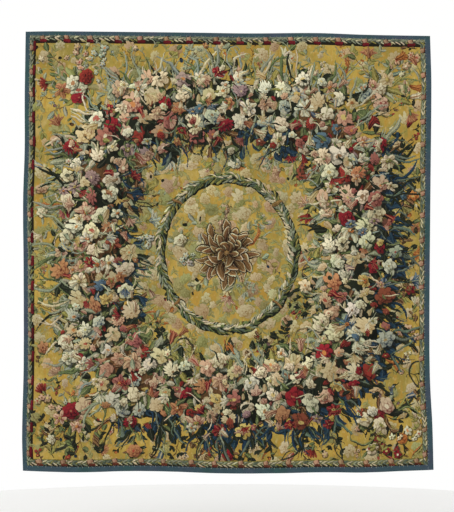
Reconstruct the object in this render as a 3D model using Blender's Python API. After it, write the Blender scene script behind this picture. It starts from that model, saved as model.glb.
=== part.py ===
"""A wall tapestry: one woven cloth and the four woven galloon strips sewn round its edges.

Sizes are in metres. The origin is the middle of the top edge, on the plane of the wall.
+X runs to the right as seen from the front, +Y points into the wall, and +Z is up.
"""

import math
from collections import namedtuple

import bmesh
import bpy

# Size of the hanging, galloon included
WIDTH_AT_TOP = 2.588
WIDTH_AT_BOTTOM = 2.624
HEIGHT_AT_LEFT = 2.808
HEIGHT_AT_RIGHT = 2.774
FALL_OF_TOP_EDGE = 0.0275
SHIFT_OF_BOTTOM_EDGE = 0.002

# Mean flat size, on which the grid lines of every piece are laid out
FLAT_WIDTH = (WIDTH_AT_TOP + WIDTH_AT_BOTTOM) / 2
FLAT_HEIGHT = (HEIGHT_AT_LEFT + HEIGHT_AT_RIGHT) / 2

# Thickness of the pieces, and the gap left at every seam
CLOTH_THICKNESS = 0.0025
GALLOON_THICKNESS = 0.002
SEAM_GAP = 0.0003

# Width of each galloon strip
TOP_GALLOON = 0.025
BOTTOM_GALLOON = 0.034
LEFT_GALLOON = 0.028
RIGHT_GALLOON = 0.034

# Each edge is uneven. along is the share of the edge's length, from its left or upper end,
# and out is how far it stands outside the straight line between its corners.
Station = namedtuple("Station", "along out")

TOP_EDGE = (
    Station(0.00, 0.0000),
    Station(0.07, 0.0044),
    Station(0.42, 0.0052),
    Station(0.55, 0.0040),
    Station(0.72, 0.0108),
    Station(0.84, 0.0032),
    Station(1.00, 0.0000),
)
BOTTOM_EDGE = (
    Station(0.00, 0.0000),
    Station(0.12, 0.0124),
    Station(0.30, 0.0045),
    Station(0.47, 0.0205),
    Station(0.62, 0.0220),
    Station(0.75, 0.0152),
    Station(0.84, 0.0181),
    Station(1.00, 0.0000),
)
LEFT_EDGE = (
    Station(0.00, 0.0000),
    Station(0.16, 0.0036),
    Station(0.26, 0.0015),
    Station(0.39, 0.0098),
    Station(0.52, 0.0048),
    Station(0.76, 0.0000),
    Station(0.92, 0.0068),
    Station(1.00, 0.0000),
)
RIGHT_EDGE = (
    Station(0.00, 0.0000),
    Station(0.11, 0.0061),
    Station(0.32, -0.0035),
    Station(0.60, -0.0156),
    Station(0.78, -0.0184),
    Station(0.90, -0.0050),
    Station(1.00, 0.0000),
)

# Soft forward folds. across and starts are shares of the width and the height: the fold grows
# from starts down to the bottom edge, where it is as deep as depth.
Fold = namedtuple("Fold", "across half_width starts depth")

FOLDS = (
    Fold(0.02, 0.20, 0.62, 0.018),
    Fold(0.17, 0.17, 0.30, 0.007),
    Fold(0.31, 0.22, 0.16, 0.017),
    Fold(0.53, 0.26, 0.45, 0.008),
    Fold(0.77, 0.21, 0.22, 0.019),
    Fold(0.99, 0.22, 0.55, 0.024),
)

# The heading stays flat on the wall, and below it the cloth stands a little off the wall
HEADING_HEIGHT = 0.12
BELLY_DEPTH = 0.006

# Cells of the cloth's grid
CLOTH_COLUMNS = 40
CLOTH_ROWS = 30


def smooth_step(share):
    """0 below 0, 1 above 1, and an easy curve between them."""
    share = min(max(share, 0.0), 1.0)
    return share * share * (3 - 2 * share)


def slope_at(stations, index):
    """The slope of the edge's curve at one station."""
    before = stations[max(index - 1, 0)]
    after = stations[min(index + 1, len(stations) - 1)]
    return (after.out - before.out) / (after.along - before.along)


def edge_out(stations, along):
    """How far an edge stands out at a share of its length, on a smooth curve through its stations."""
    last = len(stations) - 2
    index = min(sum(station.along <= along for station in stations) - 1, last)
    first, second = stations[index], stations[index + 1]
    length = second.along - first.along
    step = (along - first.along) / length
    start_slope = slope_at(stations, index) * length
    end_slope = slope_at(stations, index + 1) * length
    return (
        first.out * (2 * step**3 - 3 * step**2 + 1)
        + start_slope * (step**3 - 2 * step**2 + step)
        + second.out * (3 * step**2 - 2 * step**3)
        + end_slope * (step**3 - step**2)
    )


def forward(across, down):
    """How far the cloth's back stands off the wall, at shares of the width and the height."""
    hanging = (down - HEADING_HEIGHT / FLAT_HEIGHT) / (1 - HEADING_HEIGHT / FLAT_HEIGHT)
    if hanging <= 0:
        return 0.0
    depth = BELLY_DEPTH * math.sin(math.pi * hanging) ** 2
    for fold in FOLDS:
        offset = (across - fold.across) * FLAT_WIDTH / fold.half_width
        if abs(offset) < 1:
            growth = smooth_step((down - fold.starts) / (1 - fold.starts))
            depth += fold.depth * growth * math.cos(offset * math.pi / 2) ** 2
    return depth


def outline_height(across, down):
    """The height of a point, between the uneven top and bottom edges."""
    top = (0.5 - across) * FALL_OF_TOP_EDGE + edge_out(TOP_EDGE, across)
    height = HEIGHT_AT_LEFT + (HEIGHT_AT_RIGHT - HEIGHT_AT_LEFT) * across
    bottom = (0.5 - across) * FALL_OF_TOP_EDGE - height - edge_out(BOTTOM_EDGE, across)
    return top + (bottom - top) * down - edge_out(TOP_EDGE, 0.5)


def outline_side(across, down):
    """The place of a point from left to right, between the uneven sides."""
    half_width = (WIDTH_AT_TOP + (WIDTH_AT_BOTTOM - WIDTH_AT_TOP) * down) / 2
    middle = SHIFT_OF_BOTTOM_EDGE * down
    left = middle - half_width - edge_out(LEFT_EDGE, down)
    right = middle + half_width + edge_out(RIGHT_EDGE, down)
    return left + (right - left) * across


def place(column, row):
    """The point on the back of the hanging, column across and row down from its top left corner."""
    across = column / FLAT_WIDTH
    down = row / FLAT_HEIGHT
    return outline_side(across, down), -forward(across, down), outline_height(across, down)


def spread(start, end, cells):
    """Evenly spaced grid lines from start to end."""
    return [start + (end - start) * index / cells for index in range(cells + 1)]


def material(name, colour, roughness):
    """A plain cloth material."""
    made = bpy.data.materials.new(name)
    made.use_nodes = True
    shader = made.node_tree.nodes["Principled BSDF"]
    shader.inputs["Base Color"].default_value = (*colour, 1.0)
    shader.inputs["Roughness"].default_value = roughness
    shader.inputs["Metallic"].default_value = 0.0
    return made


def sheet(name, columns, rows, thickness, finish):
    """A closed sheet on the grid lines columns and rows, its back on the hanging's back."""
    bm = bmesh.new()
    across_cells = len(columns) - 1
    down_cells = len(rows) - 1
    bmesh.ops.create_grid(bm, x_segments=across_cells, y_segments=down_cells, size=0.5)
    for vertex in bm.verts:
        column = round((vertex.co.x + 0.5) * across_cells)
        row = round((0.5 - vertex.co.y) * down_cells)
        vertex.co = place(columns[column], rows[row])
    front = bmesh.ops.extrude_face_region(bm, geom=bm.faces[:], use_keep_orig=True)
    front_vertices = [item for item in front["geom"] if isinstance(item, bmesh.types.BMVert)]
    bmesh.ops.translate(bm, verts=front_vertices, vec=(0, -thickness, 0))
    bmesh.ops.recalc_face_normals(bm, faces=bm.faces[:])
    mesh = bpy.data.meshes.new(name)
    bm.to_mesh(mesh)
    bm.free()
    mesh.materials.append(finish)
    mesh.shade_smooth()
    mesh.set_sharp_from_angle(angle=math.radians(40))
    piece = bpy.data.objects.new(name, mesh)
    bpy.context.scene.collection.objects.link(piece)
    return piece


def woven_cloth(columns, rows):
    """The tapestry itself, with the guard border that is woven in one with it."""
    finish = material("gold_ground_tapestry", (0.21, 0.16, 0.075), 0.9)
    return sheet("woven_cloth", columns, rows, CLOTH_THICKNESS, finish)


def galloon_strips(columns, rows):
    """The four strips: the sides run the full height, and the top and bottom lie between them."""
    finish = material("blue_galloon", (0.075, 0.105, 0.135), 0.85)
    full_rows = [0.0, TOP_GALLOON, *rows, FLAT_HEIGHT - BOTTOM_GALLOON, FLAT_HEIGHT]
    right_start = FLAT_WIDTH - RIGHT_GALLOON
    bottom_start = FLAT_HEIGHT - BOTTOM_GALLOON
    sheet("galloon_left", [0.0, LEFT_GALLOON], full_rows, GALLOON_THICKNESS, finish)
    sheet("galloon_right", [right_start, FLAT_WIDTH], full_rows, GALLOON_THICKNESS, finish)
    sheet("galloon_top", columns, [0.0, TOP_GALLOON], GALLOON_THICKNESS, finish)
    sheet("galloon_bottom", columns, [bottom_start, FLAT_HEIGHT], GALLOON_THICKNESS, finish)


def clear_scene():
    for old in list(bpy.data.objects):
        bpy.data.objects.remove(old)


def main():
    clear_scene()
    cloth_left = LEFT_GALLOON + SEAM_GAP
    cloth_right = FLAT_WIDTH - RIGHT_GALLOON - SEAM_GAP
    cloth_top = TOP_GALLOON + SEAM_GAP
    cloth_bottom = FLAT_HEIGHT - BOTTOM_GALLOON - SEAM_GAP
    columns = spread(cloth_left, cloth_right, CLOTH_COLUMNS)
    rows = [cloth_top, *spread(HEADING_HEIGHT, cloth_bottom, CLOTH_ROWS - 1)]
    woven_cloth(columns, rows)
    galloon_strips(columns, rows)


main()
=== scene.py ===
"""A large wall tapestry: flowers woven on gold, inside a braided border, edged with blue galloon.

Lengths are in metres. The front faces -Y. Flat coordinates of the cloth are measured from its middle,
x to the right and z up, on the cloth as it would lie if it were spread out.
"""

import math
from collections import namedtuple

import bmesh
import bpy
import mathutils
import numpy as np
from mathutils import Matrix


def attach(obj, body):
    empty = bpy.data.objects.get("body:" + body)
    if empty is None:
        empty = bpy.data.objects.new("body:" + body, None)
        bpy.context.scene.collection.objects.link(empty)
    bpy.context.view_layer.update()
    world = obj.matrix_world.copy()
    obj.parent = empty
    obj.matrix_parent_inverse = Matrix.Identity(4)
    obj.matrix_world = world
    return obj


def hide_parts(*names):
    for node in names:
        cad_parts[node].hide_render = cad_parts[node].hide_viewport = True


bl_info = {
    "name": "Wall Tapestry",
    "version": (1, 0, 0),
    "blender": (4, 5, 0),
    "location": "3D View > Sidebar > Tapestry",
    "description": "Builds a flowered tapestry with a braided border and blue galloon on its packed frame",
    "category": "Object",
}

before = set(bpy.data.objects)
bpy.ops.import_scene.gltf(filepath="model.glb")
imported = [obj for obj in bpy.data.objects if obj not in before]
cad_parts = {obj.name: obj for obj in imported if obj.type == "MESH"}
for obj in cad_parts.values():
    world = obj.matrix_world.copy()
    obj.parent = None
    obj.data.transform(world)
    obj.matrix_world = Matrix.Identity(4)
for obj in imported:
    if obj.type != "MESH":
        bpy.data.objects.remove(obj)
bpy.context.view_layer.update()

SEED = 4211

# Layers of motifs that one cell of the cloth can show
LAYERS = 12

# Size of a cell of the cloth, and how many points along its side are tested for what covers it
CELL = 0.013
CELL_TESTS = 4

# Size of a cell of the galloon
GALLOON_CELL = 0.006

# How far past its outline a motif is kept in a cell, because the threads make outlines waver
SLACK = 0.004

# Colours, as the photo shows them on a scale of 0 to 255: light, dark and heart of each dyed wool
DYES = {
    "cream": ((207, 197, 161), (98, 80, 50), (112, 74, 38)),
    "white": ((207, 201, 170), (86, 84, 66), (150, 124, 66)),
    "blush": ((186, 158, 124), (100, 66, 48), (92, 44, 34)),
    "pink": ((158, 100, 84), (80, 38, 34), (66, 22, 20)),
    "rosy": ((188, 162, 130), (100, 42, 36), (124, 46, 40)),
    "apricot": ((168, 122, 82), (92, 40, 28), (80, 32, 24)),
    "plum": ((150, 126, 118), (56, 36, 42), (190, 172, 130)),
    "frost": ((176, 178, 152), (44, 58, 68), (160, 130, 70)),
    "red": ((144, 54, 44), (46, 14, 13), (36, 12, 12)),
    "crimson": ((132, 34, 40), (38, 10, 15), (156, 104, 74)),
    "orange": ((178, 118, 62), (104, 52, 24), (78, 34, 16)),
    "yellow": ((186, 164, 98), (112, 84, 38), (90, 58, 26)),
    "sky": ((148, 156, 138), (54, 66, 66), (184, 172, 128)),
    "blue": ((84, 104, 116), (18, 30, 42), (168, 158, 122)),
    "violet": ((126, 102, 94), (52, 38, 40), (168, 146, 100)),
    "brown": ((152, 116, 68), (44, 24, 15), (190, 166, 120)),
    "umber": ((110, 78, 46), (28, 16, 8), (166, 142, 106)),
    "olive": ((148, 140, 74), (56, 54, 24), (168, 158, 100)),
    "leaf": ((102, 112, 68), (24, 32, 18), (146, 148, 98)),
    "teal": ((100, 112, 94), (20, 28, 26), (152, 158, 126)),
    "navy": ((34, 58, 74), (9, 18, 27), (66, 84, 90)),
    "ink": ((36, 42, 28), (12, 14, 9), (66, 66, 52)),
    "faded": ((184, 170, 130), (142, 118, 74), (122, 92, 52)),
    "faded_pink": ((174, 150, 114), (136, 106, 68), (122, 84, 56)),
    "faint_leaf": ((146, 142, 92), (108, 102, 54), (160, 152, 100)),
    "sage": ((150, 154, 126), (54, 58, 42), (176, 172, 136)),
    "ribbon": ((178, 144, 114), (124, 86, 66), (120, 44, 36)),
    "russet": ((132, 70, 50), (58, 26, 20), (170, 110, 80)),
}
TONES = ("light", "dark", "heart")

GROUND_COLOURS = {
    "gold": (173, 146, 68),
    "amber": (168, 130, 54),
    "olive_gold": (142, 126, 60),
    "pale_gold": (184, 162, 104),
    "border_ground": (28, 26, 16),
    "woven_shadow": (20, 20, 14),
    "slate": (56, 75, 83),
    "slate_teal": (50, 76, 76),
    "slate_violet": (64, 73, 86),
    "thread": (150, 150, 132),
}


def linear(colour):
    """A colour of 0 to 255 as the shader's linear values."""
    shares = [value / 255 for value in colour]
    return tuple(
        share / 12.92 if share <= 0.04045 else ((share + 0.055) / 1.055) ** 2.4 for share in shares
    )


# Each size's name, its value or values, and what it is
SIZES = (
    ("width_at_top", 2.588, "Width along the top edge"),
    ("width_at_bottom", 2.624, "Width along the bottom edge"),
    ("height_at_left", 2.808, "Height of the left side"),
    ("height_at_right", 2.774, "Height of the right side"),
    ("top_fall", 0.0275, "How much lower the top edge ends at the right"),
    ("bottom_shift", 0.002, "How far the bottom edge stands to the right of the top edge"),
    ("heading", 0.12, "Height of the flat heading"),
    ("belly", 0.006, "How far the middle of the cloth stands off the wall"),
    ("cloth_thickness", 0.0025, "Thickness of the tapestry"),
    ("galloon_thickness", 0.002, "Thickness of the edging strips"),
    ("galloon", (0.025, 0.034, 0.028, 0.034), "Width of the top, bottom, left and right edging strips"),
    ("border", (0.050, 0.045, 0.041, 0.033), "Width of the top, bottom, left and right braided border"),
    ("seam_gap", 0.0003, "Gap at the galloon seams"),
    ("garland", (0.84, 0.92, 0.245), "Half width, half height and half thickness of the garland"),
    ("wreath", (0.43, 0.48, 0.032), "Half width, half height and half thickness of the wreath"),
    ("medallion", 0.20, "Radius of the brown flower in the middle"),
    ("rib", 0.0022, "Pitch of the warp ribs"),
    ("stitch_pitch", 0.034, "Distance between the stitches of the galloon seams"),
)


class TapestrySizes(bpy.types.PropertyGroup):
    """Sizes of the hanging, its border and its design."""


class TapestryColours(bpy.types.PropertyGroup):
    """Colours of the wools, one light, dark and heart for each dye, and of the plain grounds."""


def size_property(name, value, description):
    facts = dict(name=name.replace("_", " ").title(), description=description, default=value, unit="LENGTH")
    if isinstance(value, tuple):
        return bpy.props.FloatVectorProperty(size=len(value), **facts)
    return bpy.props.FloatProperty(**facts)


def colour_property(name, colour):
    return bpy.props.FloatVectorProperty(
        name=name.replace("_", " ").title(),
        description=f"Colour of the {name.replace('_', ' ')} wool",
        default=linear(colour),
        subtype="COLOR",
        size=3,
        min=0.0,
        max=1.0,
    )


for size_name, size_value, size_text in SIZES:
    TapestrySizes.__annotations__[size_name] = size_property(size_name, size_value, size_text)
for dye, shades in DYES.items():
    for tone, shade in zip(TONES, shades):
        TapestryColours.__annotations__[f"{dye}_{tone}"] = colour_property(f"{dye}_{tone}", shade)
for ground, shade in GROUND_COLOURS.items():
    TapestryColours.__annotations__[ground] = colour_property(ground, shade)


# The hanging's shape: the same stations and folds as its solids

# Stations of each edge: their shares of its length, and how far they stand outside its straight line
EDGES = {
    "top": (
        (0.0, 0.07, 0.42, 0.55, 0.72, 0.84, 1.0),
        (0.0, 0.0044, 0.0052, 0.0040, 0.0108, 0.0032, 0.0),
    ),
    "bottom": (
        (0.0, 0.12, 0.30, 0.47, 0.62, 0.75, 0.84, 1.0),
        (0.0, 0.0124, 0.0045, 0.0205, 0.0220, 0.0152, 0.0181, 0.0),
    ),
    "left": (
        (0.0, 0.16, 0.26, 0.39, 0.52, 0.76, 0.92, 1.0),
        (0.0, 0.0036, 0.0015, 0.0098, 0.0048, 0.0, 0.0068, 0.0),
    ),
    "right": (
        (0.0, 0.11, 0.32, 0.60, 0.78, 0.90, 1.0),
        (0.0, 0.0061, -0.0035, -0.0156, -0.0184, -0.0050, 0.0),
    ),
}

# across and starts are shares of the width and height, and depth is reached at the bottom edge
Fold = namedtuple("Fold", "across half_width starts depth")

FOLDS = (
    Fold(0.02, 0.20, 0.62, 0.018),
    Fold(0.17, 0.17, 0.30, 0.007),
    Fold(0.31, 0.22, 0.16, 0.017),
    Fold(0.53, 0.26, 0.45, 0.008),
    Fold(0.77, 0.21, 0.22, 0.019),
    Fold(0.99, 0.22, 0.55, 0.024),
)


# How deep the cockling of the weave is on average
PUCKER = 0.0016


def smooth_step(share):
    share = np.clip(share, 0.0, 1.0)
    return share * share * (3 - 2 * share)


def edge_out(edge, along):
    """How far an edge stands out at shares of its length, on a smooth curve through its stations."""
    places, outs = np.array(EDGES[edge])
    order = np.arange(len(places))
    before = np.maximum(order - 1, 0)
    after = np.minimum(order + 1, len(places) - 1)
    slopes = (outs[after] - outs[before]) / (places[after] - places[before])
    first = np.clip(np.searchsorted(places, along, side="right") - 1, 0, len(places) - 2)
    length = places[first + 1] - places[first]
    step = (along - places[first]) / length
    return (
        outs[first] * (2 * step**3 - 3 * step**2 + 1)
        + slopes[first] * length * (step**3 - 2 * step**2 + step)
        + outs[first + 1] * (3 * step**2 - 2 * step**3)
        + slopes[first + 1] * length * (step**3 - step**2)
    )


def flat_size(sizes):
    """Mean width and height of the hanging spread flat, galloon included."""
    width = (sizes.width_at_top + sizes.width_at_bottom) / 2
    height = (sizes.height_at_left + sizes.height_at_right) / 2
    return width, height


def inset(sizes, widths):
    """The low and high flat corners inside a band of the given top, bottom, left and right widths."""
    width, height = flat_size(sizes)
    top, bottom, left, right = widths
    return (-width / 2 + left, -height / 2 + bottom), (width / 2 - right, height / 2 - top)


def hang(sizes, x, z, lift):
    """Points of the hanging at flat coordinates x and z, standing lift in front of its back."""
    width, height = flat_size(sizes)
    across = x / width + 0.5
    down = 0.5 - z / height
    half = (sizes.width_at_top + (sizes.width_at_bottom - sizes.width_at_top) * down) / 2
    left = sizes.bottom_shift * down - half - edge_out("left", down)
    right = sizes.bottom_shift * down + half + edge_out("right", down)
    tilt = (0.5 - across) * sizes.top_fall
    top = tilt + edge_out("top", across)
    drop = sizes.height_at_left + (sizes.height_at_right - sizes.height_at_left) * across
    bottom = tilt - drop - edge_out("bottom", across)
    origin = edge_out("top", np.array([0.5]))[0]
    forward = stand_off(sizes, across, down) + pucker(x, z, down)
    return np.stack(
        [left + (right - left) * across, -forward - lift, top + (bottom - top) * down - origin],
        axis=-1,
    )


def stand_off(sizes, across, down):
    """How far the back stands off the wall: a slight belly, and soft folds that grow downwards."""
    width, height = flat_size(sizes)
    heading = sizes.heading / height
    hanging = np.clip((down - heading) / (1 - heading), 0.0, 1.0)
    depth = sizes.belly * np.sin(math.pi * hanging) ** 2
    for fold in FOLDS:
        offset = np.clip((across - fold.across) * width / fold.half_width, -1.0, 1.0)
        growth = smooth_step((down - fold.starts) / (1 - fold.starts))
        depth = depth + fold.depth * growth * np.cos(offset * math.pi / 2) ** 2
    return np.where(down > heading, depth, 0.0)


def pucker(x, z, down):
    """Slight cockling of the weave, which fades out at the flat heading."""
    waves = plane_waves(SEED + 1, x, z, shortest=0.07, longest=0.32, count=14)
    fade = smooth_step((down - 0.04) / 0.10)
    return PUCKER * fade * np.clip(1 + waves, 0.0, 2.0)


def plane_waves(seed, x, z, shortest, longest, count):
    """A smooth uneven field of about -1 to 1, made of plane waves in seeded directions."""
    rng = np.random.default_rng(seed)
    total = np.zeros_like(x)
    for _ in range(count):
        length = rng.uniform(shortest, longest)
        turn = rng.uniform(0, math.tau)
        start = rng.uniform(0, math.tau)
        total += np.sin((x * math.cos(turn) + z * math.sin(turn)) * math.tau / length + start)
    return total / math.sqrt(count)


# The woven design, as a list of flat motifs

ROSETTE = 1.0
BLADE = -1.0

# Where the woven light comes from, and the way its shadows fall
LIGHT_FROM = (-0.62, 0.78)
SHADE_TURN = math.atan2(-LIGHT_FROM[1], -LIGHT_FROM[0])

# A woven shadow under each flower, in parts of its radius
SHADOW_SHIFT = 0.18
SHADOW_RADIUS = 1.05

MOTIF_FIELDS = (
    "form x z cosine sine half_length half_width count steps cut heart lean bend "
    "light_r light_g light_b dark_r dark_g dark_b heart_r heart_g heart_b"
).split()
FIELD = {name: place for place, name in enumerate(MOTIF_FIELDS)}


class Design:
    """Woven motifs in flat coordinates, listed from the lowest to the topmost."""

    def __init__(self, colours, seed):
        self.rows = []
        self.colours = colours
        self.rng = np.random.default_rng(seed)
        self.face_light(-1.0)

    def face_light(self, lit):
        """Sprays are paler where the woven light falls."""
        self.greens = PALE_GREENS if lit > 0.1 else DEEP_GREENS
        self.flowers = PALE_FLOWERS if lit > 0.1 else DEEP_FLOWERS

    def pick(self, low, high):
        return float(self.rng.uniform(low, high))

    def one_of(self, *choices):
        return choices[int(self.rng.integers(len(choices)))]

    def wool(self, dye, shade):
        """Light, dark and heart of a dye, a little uneven, and darker where shade is under 1."""
        hue = 1 + 0.035 * self.rng.standard_normal(3)
        strength = shade * (1 + 0.07 * self.rng.standard_normal())
        values = []
        for tone in TONES:
            colour = np.array(getattr(self.colours, f"{dye}_{tone}"))
            values.extend(np.clip(colour * hue * strength, 0.0, 1.0))
        return values

    def rosette(self, at, radius, petals, rows, cut, heart, dye, shade=1.0, lean=0.0, swap=False):
        """A flower seen from above: rows of petals round a heart, its own x axis turned to the shade.

        A negative number of petals gives it only a faint shadow.
        """
        turn = SHADE_TURN + self.pick(-0.4, 0.4)
        wool = self.wool(dye, shade)
        if swap:
            wool = wool[3:6] + wool[0:3] + wool[6:9]
        if heart > 0.2:
            other = self.one_of("red", "orange", "umber", "yellow", "cream", "ink")
            wool[6:9] = self.wool(other, shade)[0:3]
        long, wide = radius * self.pick(0.74, 1.1), radius * self.pick(0.74, 1.1)
        place = [ROSETTE, at[0], at[1], math.cos(turn), math.sin(turn), long, wide]
        phase = self.pick(0, math.pi)
        self.rows.append(place + [petals, rows, cut, heart, lean, phase] + wool)

    def blade(
        self, base, tip, half_width, dye, shade=1.0, bend=0.0, taper=0.75,
        teeth=0.0, rib=0.1, veins=5.0, tip_light=0.3,
    ):
        """A leaf, petal or stem from base to tip. bend is how far its middle bows out to the left."""
        along = (tip[0] - base[0], tip[1] - base[1])
        half = math.hypot(*along) / 2
        cosine, sine = along[0] / half / 2, along[1] / half / 2
        middle = ((base[0] + tip[0]) / 2, (base[1] + tip[1]) / 2)
        # A negative half width mirrors a blade, so that its paler half is the one nearer the light
        width = math.copysign(half_width, cosine * LIGHT_FROM[1] - sine * LIGHT_FROM[0])
        place = [BLADE, *middle, cosine, sine, half, width]
        shape = [veins, taper, teeth, rib, tip_light, bend / width]
        self.rows.append(place + shape + self.wool(dye, shade))

    def plain_blade(self, base, tip, half_width, dye, shade=1.0, bend=0.0, taper=0.75, tip_light=0.3):
        """A blade with no rib and no veins."""
        self.blade(base, tip, half_width, dye, shade, bend, taper, rib=0.0, veins=0.0, tip_light=tip_light)

    def table(self):
        return np.array(self.rows)


def polar(at, turn, distance):
    return at[0] + math.cos(turn) * distance, at[1] + math.sin(turn) * distance


def on_bow(base, tip, bend, share):
    """The point and direction at a share of a bowed stem."""
    dx, dz = tip[0] - base[0], tip[1] - base[1]
    length = math.hypot(dx, dz)
    rise = 4 * share * (1 - share) * bend
    point = (base[0] + dx * share - dz / length * rise, base[1] + dz * share + dx / length * rise)
    slope = 4 * (1 - 2 * share) * bend / length
    return point, math.atan2(dz, dx) + math.atan(slope)


# Flowers and leaves


def leaf(design, base, turn, length, dye, shade=1.0, slim=0.21, teeth=0.0):
    bend = length * design.pick(-0.13, 0.13)
    tip = polar(base, turn, length)
    design.blade(base, tip, length * slim, dye, shade, bend, taper=0.8, teeth=teeth, rib=0.07, veins=6)


def leaves_round(design, at, radius, count, length, dyes, shade=1.0):
    """Leaves that stick out from under a flower."""
    start = design.pick(0, math.tau)
    for index in range(count):
        turn = start + index * math.tau / count + design.pick(-0.5, 0.5)
        size = length * design.pick(0.75, 1.25)
        base = polar(at, turn, radius * 0.7)
        slim = design.pick(0.17, 0.27)
        teeth = design.one_of(0.0, 0.12)
        leaf(design, base, turn + design.pick(-0.4, 0.4), size, design.one_of(*dyes), shade, slim, teeth)


def rose(design, at, radius, dye, shade=1.0):
    lean = design.pick(-0.35, 0.35)
    heart = design.pick(0.1, 0.3)
    design.rosette(at, radius, design.one_of(5, 6), design.one_of(2, 3), 0.6, heart, dye, shade, lean)


def peony(design, at, radius, dye, shade=1.0):
    petals = design.one_of(6, 7, 8)
    heart = design.pick(0.08, 0.26)
    rows = design.one_of(2, 2, 3)
    design.rosette(at, radius, petals, rows, 0.64, heart, dye, shade, design.pick(-0.35, 0.1))


def carnation(design, at, radius, dye, shade=1.0):
    petals = design.one_of(10, 12, 13)
    heart = design.pick(0.1, 0.4)
    design.rosette(at, radius, petals, 2, 0.55, heart, dye, shade, design.pick(-0.35, 0.35))


def anemone(design, at, radius, dye, shade=1.0):
    petals = design.one_of(5, 6, 7)
    design.rosette(at, radius, petals, 2, 0.6, design.pick(0.2, 0.4), dye, shade, design.pick(-0.2, 0.2))


def star_flower(design, at, radius, dye, shade=1.0):
    """An open flower of five or six long petals round a small trumpet."""
    petals = design.one_of(5, 6, 6)
    start = design.pick(0, math.tau)
    squash = design.pick(0.6, 1.0)
    if dye == "red":
        dye = "rosy"
    for index in range(petals):
        turn = start + index * math.tau / petals + design.pick(-0.1, 0.1)
        length = radius * (1.05 - (1 - squash) * abs(math.sin(turn)))
        tip = polar(at, turn, length * design.pick(0.95, 1.1))
        bend = radius * design.pick(-0.14, 0.14)
        lit = math.cos(turn) * LIGHT_FROM[0] + math.sin(turn) * LIGHT_FROM[1]
        design.blade(
            at, tip, radius * 0.34, dye, shade * (1 + 0.14 * lit), bend,
            taper=0.5, rib=0.09, veins=3, tip_light=0.9,
        )
    heart = design.one_of("yellow", "orange", "olive", dye)
    design.rosette(at, radius * 0.28, 6, 2, 0.5, 0.4, heart, shade * 0.95, 0.2)


def blossom(design, at, radius, dye):
    design.rosette(at, radius, 5, 1, 0.5, 0.3, dye, 1.0, design.pick(-0.15, 0.15))


def berry(design, at, radius, dye, shade=1.0):
    design.rosette(at, radius, 1, 1, 0.0, 0.0, dye, shade, 0.3, swap=True)


def blossom_cluster(design, at, radius, dye, count):
    for index in range(count):
        place = polar(at, index * 2.4, radius * math.sqrt(index / count))
        blossom(design, place, radius * design.pick(0.36, 0.48), dye)


def tulip(design, base, turn, length, dye, shade=1.0):
    """A tulip seen from the side, its base at base."""
    for spread, bow, light in ((0.34, 0.16, 0.9), (0.13, 0.10, 1.0)):
        for side in (-1, 1):
            tip = polar(base, turn + side * spread, length)
            design.blade(
                base, tip, length * 0.165, dye, shade * light, side * -bow * length,
                taper=0.52, rib=0.22, veins=2, tip_light=0.7,
            )
    tip = polar(base, turn, length * 0.8)
    design.blade(base, tip, length * 0.15, dye, shade * 1.06, taper=0.5, rib=0.3, veins=2, tip_light=0.9)


def lily(design, base, turn, length, dye, shade=1.0):
    """An open flower seen from the side: five long petals that curl outwards."""
    for spread in (-0.95, 0.95, -0.5, 0.5, 0.0):
        tip = polar(base, turn + spread, length * (1 - 0.12 * abs(spread)))
        bend = -spread * 0.22 * length
        design.blade(
            base, tip, length * 0.13, dye, shade, bend, taper=0.7, rib=0.12, veins=3, tip_light=0.8
        )
    berry(design, base, length * 0.12, "olive", shade)


def clove_pink(design, base, turn, length, dye, shade=1.0):
    """A clove pink seen from the side: a toothed fan of petals on a green calyx."""
    for spread in (-0.8, 0.8, -0.45, 0.45, -0.15, 0.15):
        tip = polar(base, turn + spread, length)
        design.blade(
            base, tip, length * 0.19, dye, shade, taper=0.32, teeth=0.25, rib=0.1, veins=3, tip_light=0.9
        )
    calyx = polar(base, turn + math.pi, length * 0.45)
    design.blade(calyx, polar(base, turn, length * 0.25), length * 0.15, "leaf", shade, taper=0.5)


def bud(design, base, turn, length, dye):
    tip = polar(base, turn, length)
    design.blade(base, tip, length * 0.24, dye, taper=0.6, rib=0.12, veins=2, tip_light=0.7)
    low, high = polar(base, turn, -length * 0.1), polar(base, turn, length * 0.45)
    design.blade(low, high, length * 0.2, "leaf", taper=0.6)


def stem(design, base, tip, bend, dye="leaf", shade=1.0, half_width=0.0028):
    design.plain_blade(base, tip, half_width, dye, shade, bend, taper=0.14)


def curl(design, base, turn, length, dye, side):
    """A scrolling leaf that rolls up to one side, made of short overlapping blades."""
    point = base
    for index in range(8):
        step = length * (0.30 - 0.026 * index)
        ahead = polar(point, turn, step)
        low = polar(point, turn, -step * 0.25)
        half_width = length * (0.036 - 0.003 * index)
        design.blade(low, ahead, half_width, dye, 1.0, side * -0.07 * step, taper=0.3, rib=0.3, veins=0)
        point = ahead
        turn += side * (0.3 + 0.07 * index)


def leafy_stem(design, base, tip, bend, dyes, size, pairs, shade=1.0, alternate=True):
    """A bowed stem with leaves on both sides. Returns the direction of its end."""
    stem(design, base, tip, bend, dyes[0], shade)
    for index in range(pairs):
        share = 0.16 + 0.76 * (index + 0.5) / pairs
        point, turn = on_bow(base, tip, bend, share)
        sides = ((-1, 1)[index % 2],) if alternate else (-1, 1)
        for side in sides:
            length = size * design.pick(0.75, 1.2) * (1.1 - 0.4 * share)
            dye = design.one_of(*dyes)
            slim = design.pick(0.18, 0.27)
            leaf(design, point, turn + side * design.pick(0.55, 0.95), length, dye, shade, slim)
    return on_bow(base, tip, bend, 1.0)[1]


# Sprays that grow out over the gold ground

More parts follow.
